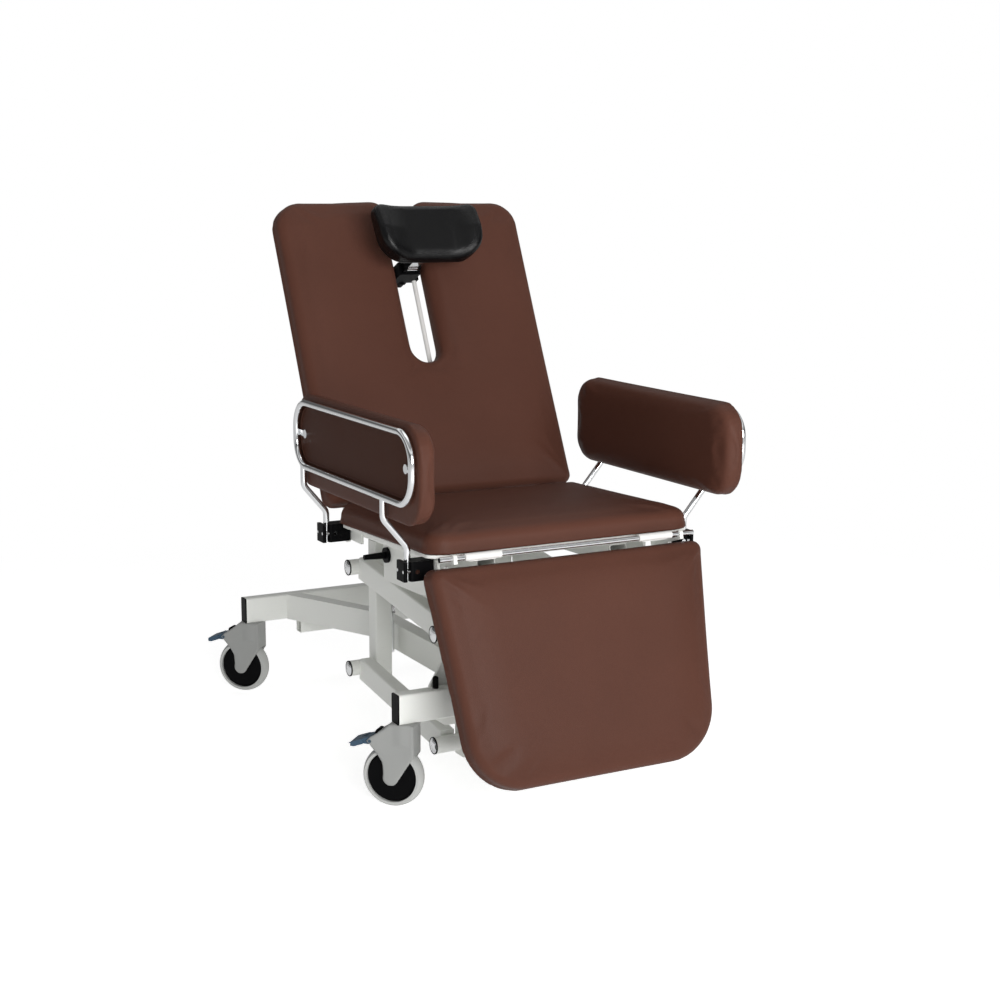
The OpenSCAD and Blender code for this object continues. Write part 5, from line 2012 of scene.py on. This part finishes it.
@dataclass
class Castor:
    """One castor's moulded fork, with a round swivel housing and leaning cheeks."""

    corner: Corner
    trail: float = 24 * MM
    axle: float = 62.5 * MM
    top: float = 171.7 * MM
    crown: float = 132 * MM
    housing: float = 24.5 * MM
    shoulder: Pair = (15 * MM, 12 * MM)
    throat: Pair = (27 * MM, 46 * MM)
    waist: Pair = (17 * MM, 30 * MM)
    skirt: float = 24 * MM
    boss: float = 16.5 * MM
    inner: float = 19.2 * MM
    outer: float = 23 * MM
    wheel: float = 67.5 * MM
    pedal: Pair = (66 * MM, 134 * MM)
    lug: float = 8.5 * MM
    edge: float = 3 * MM
    fillet: float = 6 * MM
    arch_edge: float = 1.5 * MM
    net: float = 2.6 * MM
    reach: tuple[Pair, Pair, Pair] = ((-26 * MM, 76 * MM), (-25 * MM, 25 * MM), (44 * MM, 173 * MM))
    pin: float = 6 * MM
    stem_end: float = 212 * MM
    collar: Pair = (14 * MM, 20 * MM)
    stop: tuple[float, float, float] = (52 * MM, 11 * MM, 150 * MM)
    stop_radius: float = 6.5 * MM
    rib: tuple[float, float, float] = (34 * MM, 1.6 * MM, 1.8 * MM)
    rib_round: float = 0.5 * MM
    rib_line: tuple[Pair, Pair] = ((20 * MM, 1.6 * MM), (38 * MM, -8.2 * MM))
    ribs: int = 5

    @property
    def place(self) -> Place:
        """The castor's own frame: along its trail, sideways along its axle, up."""
        stem, roll = (joint_place(joint + self.corner.value) for joint in ("swivel_", "roll_"))
        ahead = Vector((roll.x - stem.x, roll.y - stem.y, 0)).normalized()
        return Place(Vector((stem.x, stem.y, 0)), ahead, Z.cross(ahead))

    def cheek(self) -> list[Pair]:
        """The cheek's outline: upright at its back, leaning down to the axle, and out to the pedal's lug.

        Returns:
            Its corners along the trail and up.
        """
        housing, (px, pz), lug = self.housing, self.pedal, self.lug
        front = [(self.trail + x, self.axle + z) for x, z in (self.throat, self.waist)]
        return [(-housing, self.top), (housing + 1 * MM, self.top),
                (housing + self.shoulder[0], self.top - self.shoulder[1]),
                (px, pz + lug), (px + lug, pz), (px, pz - lug), *front,
                *arc((self.trail, self.axle), self.boss, 25, -140), (-housing, self.crown - self.skirt)]

    def fork_field(self, x: np.ndarray, y: np.ndarray, z: np.ndarray) -> np.ndarray:
        """Distance to the fork's surface.

        Args:
            x: Distance along the trail from the stem.
            y: Distance sideways.
            z: Height.

        Returns:
            The distance, negative inside.
        """
        body = rounded_corner(outline_gap(x, z, self.cheek()), np.abs(y) - self.outer, self.edge)
        drum = np.hypot(x, y) - self.housing
        tall = np.abs(z - (self.top + self.crown) / 2) - (self.top - self.crown) / 2
        body = -soft_max(-body, -np.maximum(drum, tall), self.fillet)
        arch = np.hypot(x - self.trail, z - self.axle) - self.wheel
        opening = np.minimum(arch, self.trail + self.throat[0] - x)
        return soft_max(body, -np.maximum(opening, np.abs(y) - self.inner), self.arch_edge)

    def fork(self) -> bpy.types.Mesh:
        """The fork with its stem and the wheel's pin.

        Returns:
            The mesh.
        """
        place, sink, chamfer = self.place, 1 * MM, 1 * MM
        low, high = zip(*self.reach)
        cheeks = with_modifier(skin(self.fork_field, low, high, self.net), "SMOOTH", factor=0.5, iterations=1)
        cheeks.transform(place.matrix())
        foot, tip, half = self.top - sink, self.stem_end, self.inner + sink
        stem = lathe([(0, foot), (self.pin, foot), (self.pin, tip - chamfer), (self.pin - chamfer, tip), (0, tip)],
                     place)
        across = Place(place.at(self.trail, 0, self.axle), place.out, place.across)
        pin = lathe([(0, -half), (self.pin, -half), (self.pin, half), (0, half)], across, 24)
        return joined([cheeks, stem, pin])

    def swivel_collar(self) -> bpy.types.Mesh:
        """The steel ring on the housing, under the frame's foot.

        Returns:
            The mesh.
        """
        inner, outer = self.collar
        low, middle, high = self.top - 2.4 * MM, self.top - 1 * MM, self.top + 0.1 * MM
        return lathe([(inner, low), (outer, low), (outer + 1 * MM, middle), (outer, high), (inner, high)],
                     self.place)

    def brake_stop(self) -> bpy.types.Mesh:
        """The black rod that the brake's pedal works against.

        Returns:
            The mesh.
        """
        x, half, z = self.stop
        return tube([self.place.at(x, y, z) for y in (-half, half)], self.stop_radius, sides=20)

    def pedal_ribs(self, repeats: Repeats) -> None:
        """Sets the ribs across the pedal's blade.

        Args:
            repeats: The trees for repeated shapes.
        """
        near, tip = (Vector((self.pedal[0] + x, 0, self.pedal[1] + z)) for x, z in self.rib_line)
        way = (tip - near).normalized()
        up = self.place.at(-way.z, 0, way.x) - self.place.origin
        spots = [self.place.at(*(near + (tip - near) * (i / (self.ribs - 1)))) for i in range(self.ribs)]
        rib = rounded_block(BENCH, Vector(self.rib), self.rib_round, 1)
        tag = self.corner.value
        repeats.build("pedal_ribs_" + tag, "pedal_" + tag, spots, [up] * self.ribs, rib, Look.BLUE)

    def build(self, kit: Kit, repeats: Repeats) -> None:
        """Makes the fork in place of its CAD node, its collar, the brake's stop and the ribs of its pedal.

        Args:
            kit: The scene's materials.
            repeats: The trees for repeated shapes.
        """
        tag = self.corner.value
        body = "castor_" + tag
        kit.piece("fork_" + tag, self.fork(), body, Look.CAST_GREY, replaces=("castor_fork_" + tag,))
        kit.piece("swivel_collar_" + tag, self.swivel_collar(), body, Look.STEEL)
        kit.piece("brake_stop_" + tag, self.brake_stop(), body, Look.BLACK)
        self.pedal_ribs(repeats)


@dataclass
class ArmRest:
    """One armrest: its padded panel inside the chrome loop."""

    side: Side
    aside: float = 356 * MM
    size: PadSize = PadSize(width=600 * MM, length=195 * MM, rear=0.0, edge=38 * MM, crown=6 * MM,
                            low_radius=62 * MM, high_radius=62 * MM, front_round=16 * MM, rear_round=5 * MM,
                            dome=60 * MM, waist=0.5 * MM, swell=3 * MM)
    rise: float = 12.5 * MM
    loop_length: float = 561 * MM
    loop_height: float = 133 * MM
    loop_radius: float = 55 * MM
    panel: float = 1.0 * MM
    panel_sunk: float = 0.9 * MM
    welt_inset: float = 9.5 * MM
    welt: float = 1.1 * MM
    welt_rise: float = 1.0 * MM

    def rim(self, inset: float) -> list[Pair]:
        """The outline of the panel inside the loop, or of a line inside it.

        Args:
            inset: How far inside the panel's outline it runs.

        Returns:
            The outline about the loop's middle.
        """
        half, tall, radius = (size - inset for size in
                              (self.loop_length / 2, self.loop_height / 2, self.loop_radius))
        return tapered_rim(half, half, tall, radius, radius)

    def build(self, kit: Kit) -> None:
        """Makes the cushion, and the flat panel with its welt inside the loop; the panel wears a darker copy of the
        brown leatherette, which is painted shade.

        Args:
            kit: The scene's materials.
        """
        tag, out = self.side.name.lower(), self.side.value
        node, body = "armrest_pad_" + tag, "armrest_" + tag[0]
        middle = middle_of(node)
        place = Place(Vector((out * self.aside, middle.y, middle.z)), -Y * out, Z)
        Pad("arm_cushion_" + tag, body, node, place, self.size).build(kit)
        inner = place.moved(0, self.rise)
        panel = sheet_of(self.rim(0.0), self.panel, inner.moved(0, 0, -self.panel_sunk))
        # The panel's darker leatherette is painted shade.
        kit.piece("arm_panel_" + tag, panel, body, Look.DARK_LEATHER, smooth=False)
        line = [inner.at(x, y, -self.welt_rise) for x, y in self.rim(self.welt_inset)]
        kit.piece("arm_welt_" + tag, tube(line, self.welt, closed=True, sides=8), body, Look.THREAD)


def main() -> None:
    """Builds the scene piece by piece."""
    logging.basicConfig(level=logging.INFO, format="%(message)s")
    Studio().build()
    kit = Kit()
    Steelwork().build(kit)
    repeats = Repeats(kit)
    BackRest().build(kit, repeats)
    Seat().build(kit)
    LegRest().build(kit, repeats)
    HeadRest().build(kit)
    for side in Side:
        ArmRest(side).build(kit)
    PivotRings().build(kit)
    for corner in Corner:
        Castor(corner).build(kit, repeats)


if __name__ == "__main__":
    main()
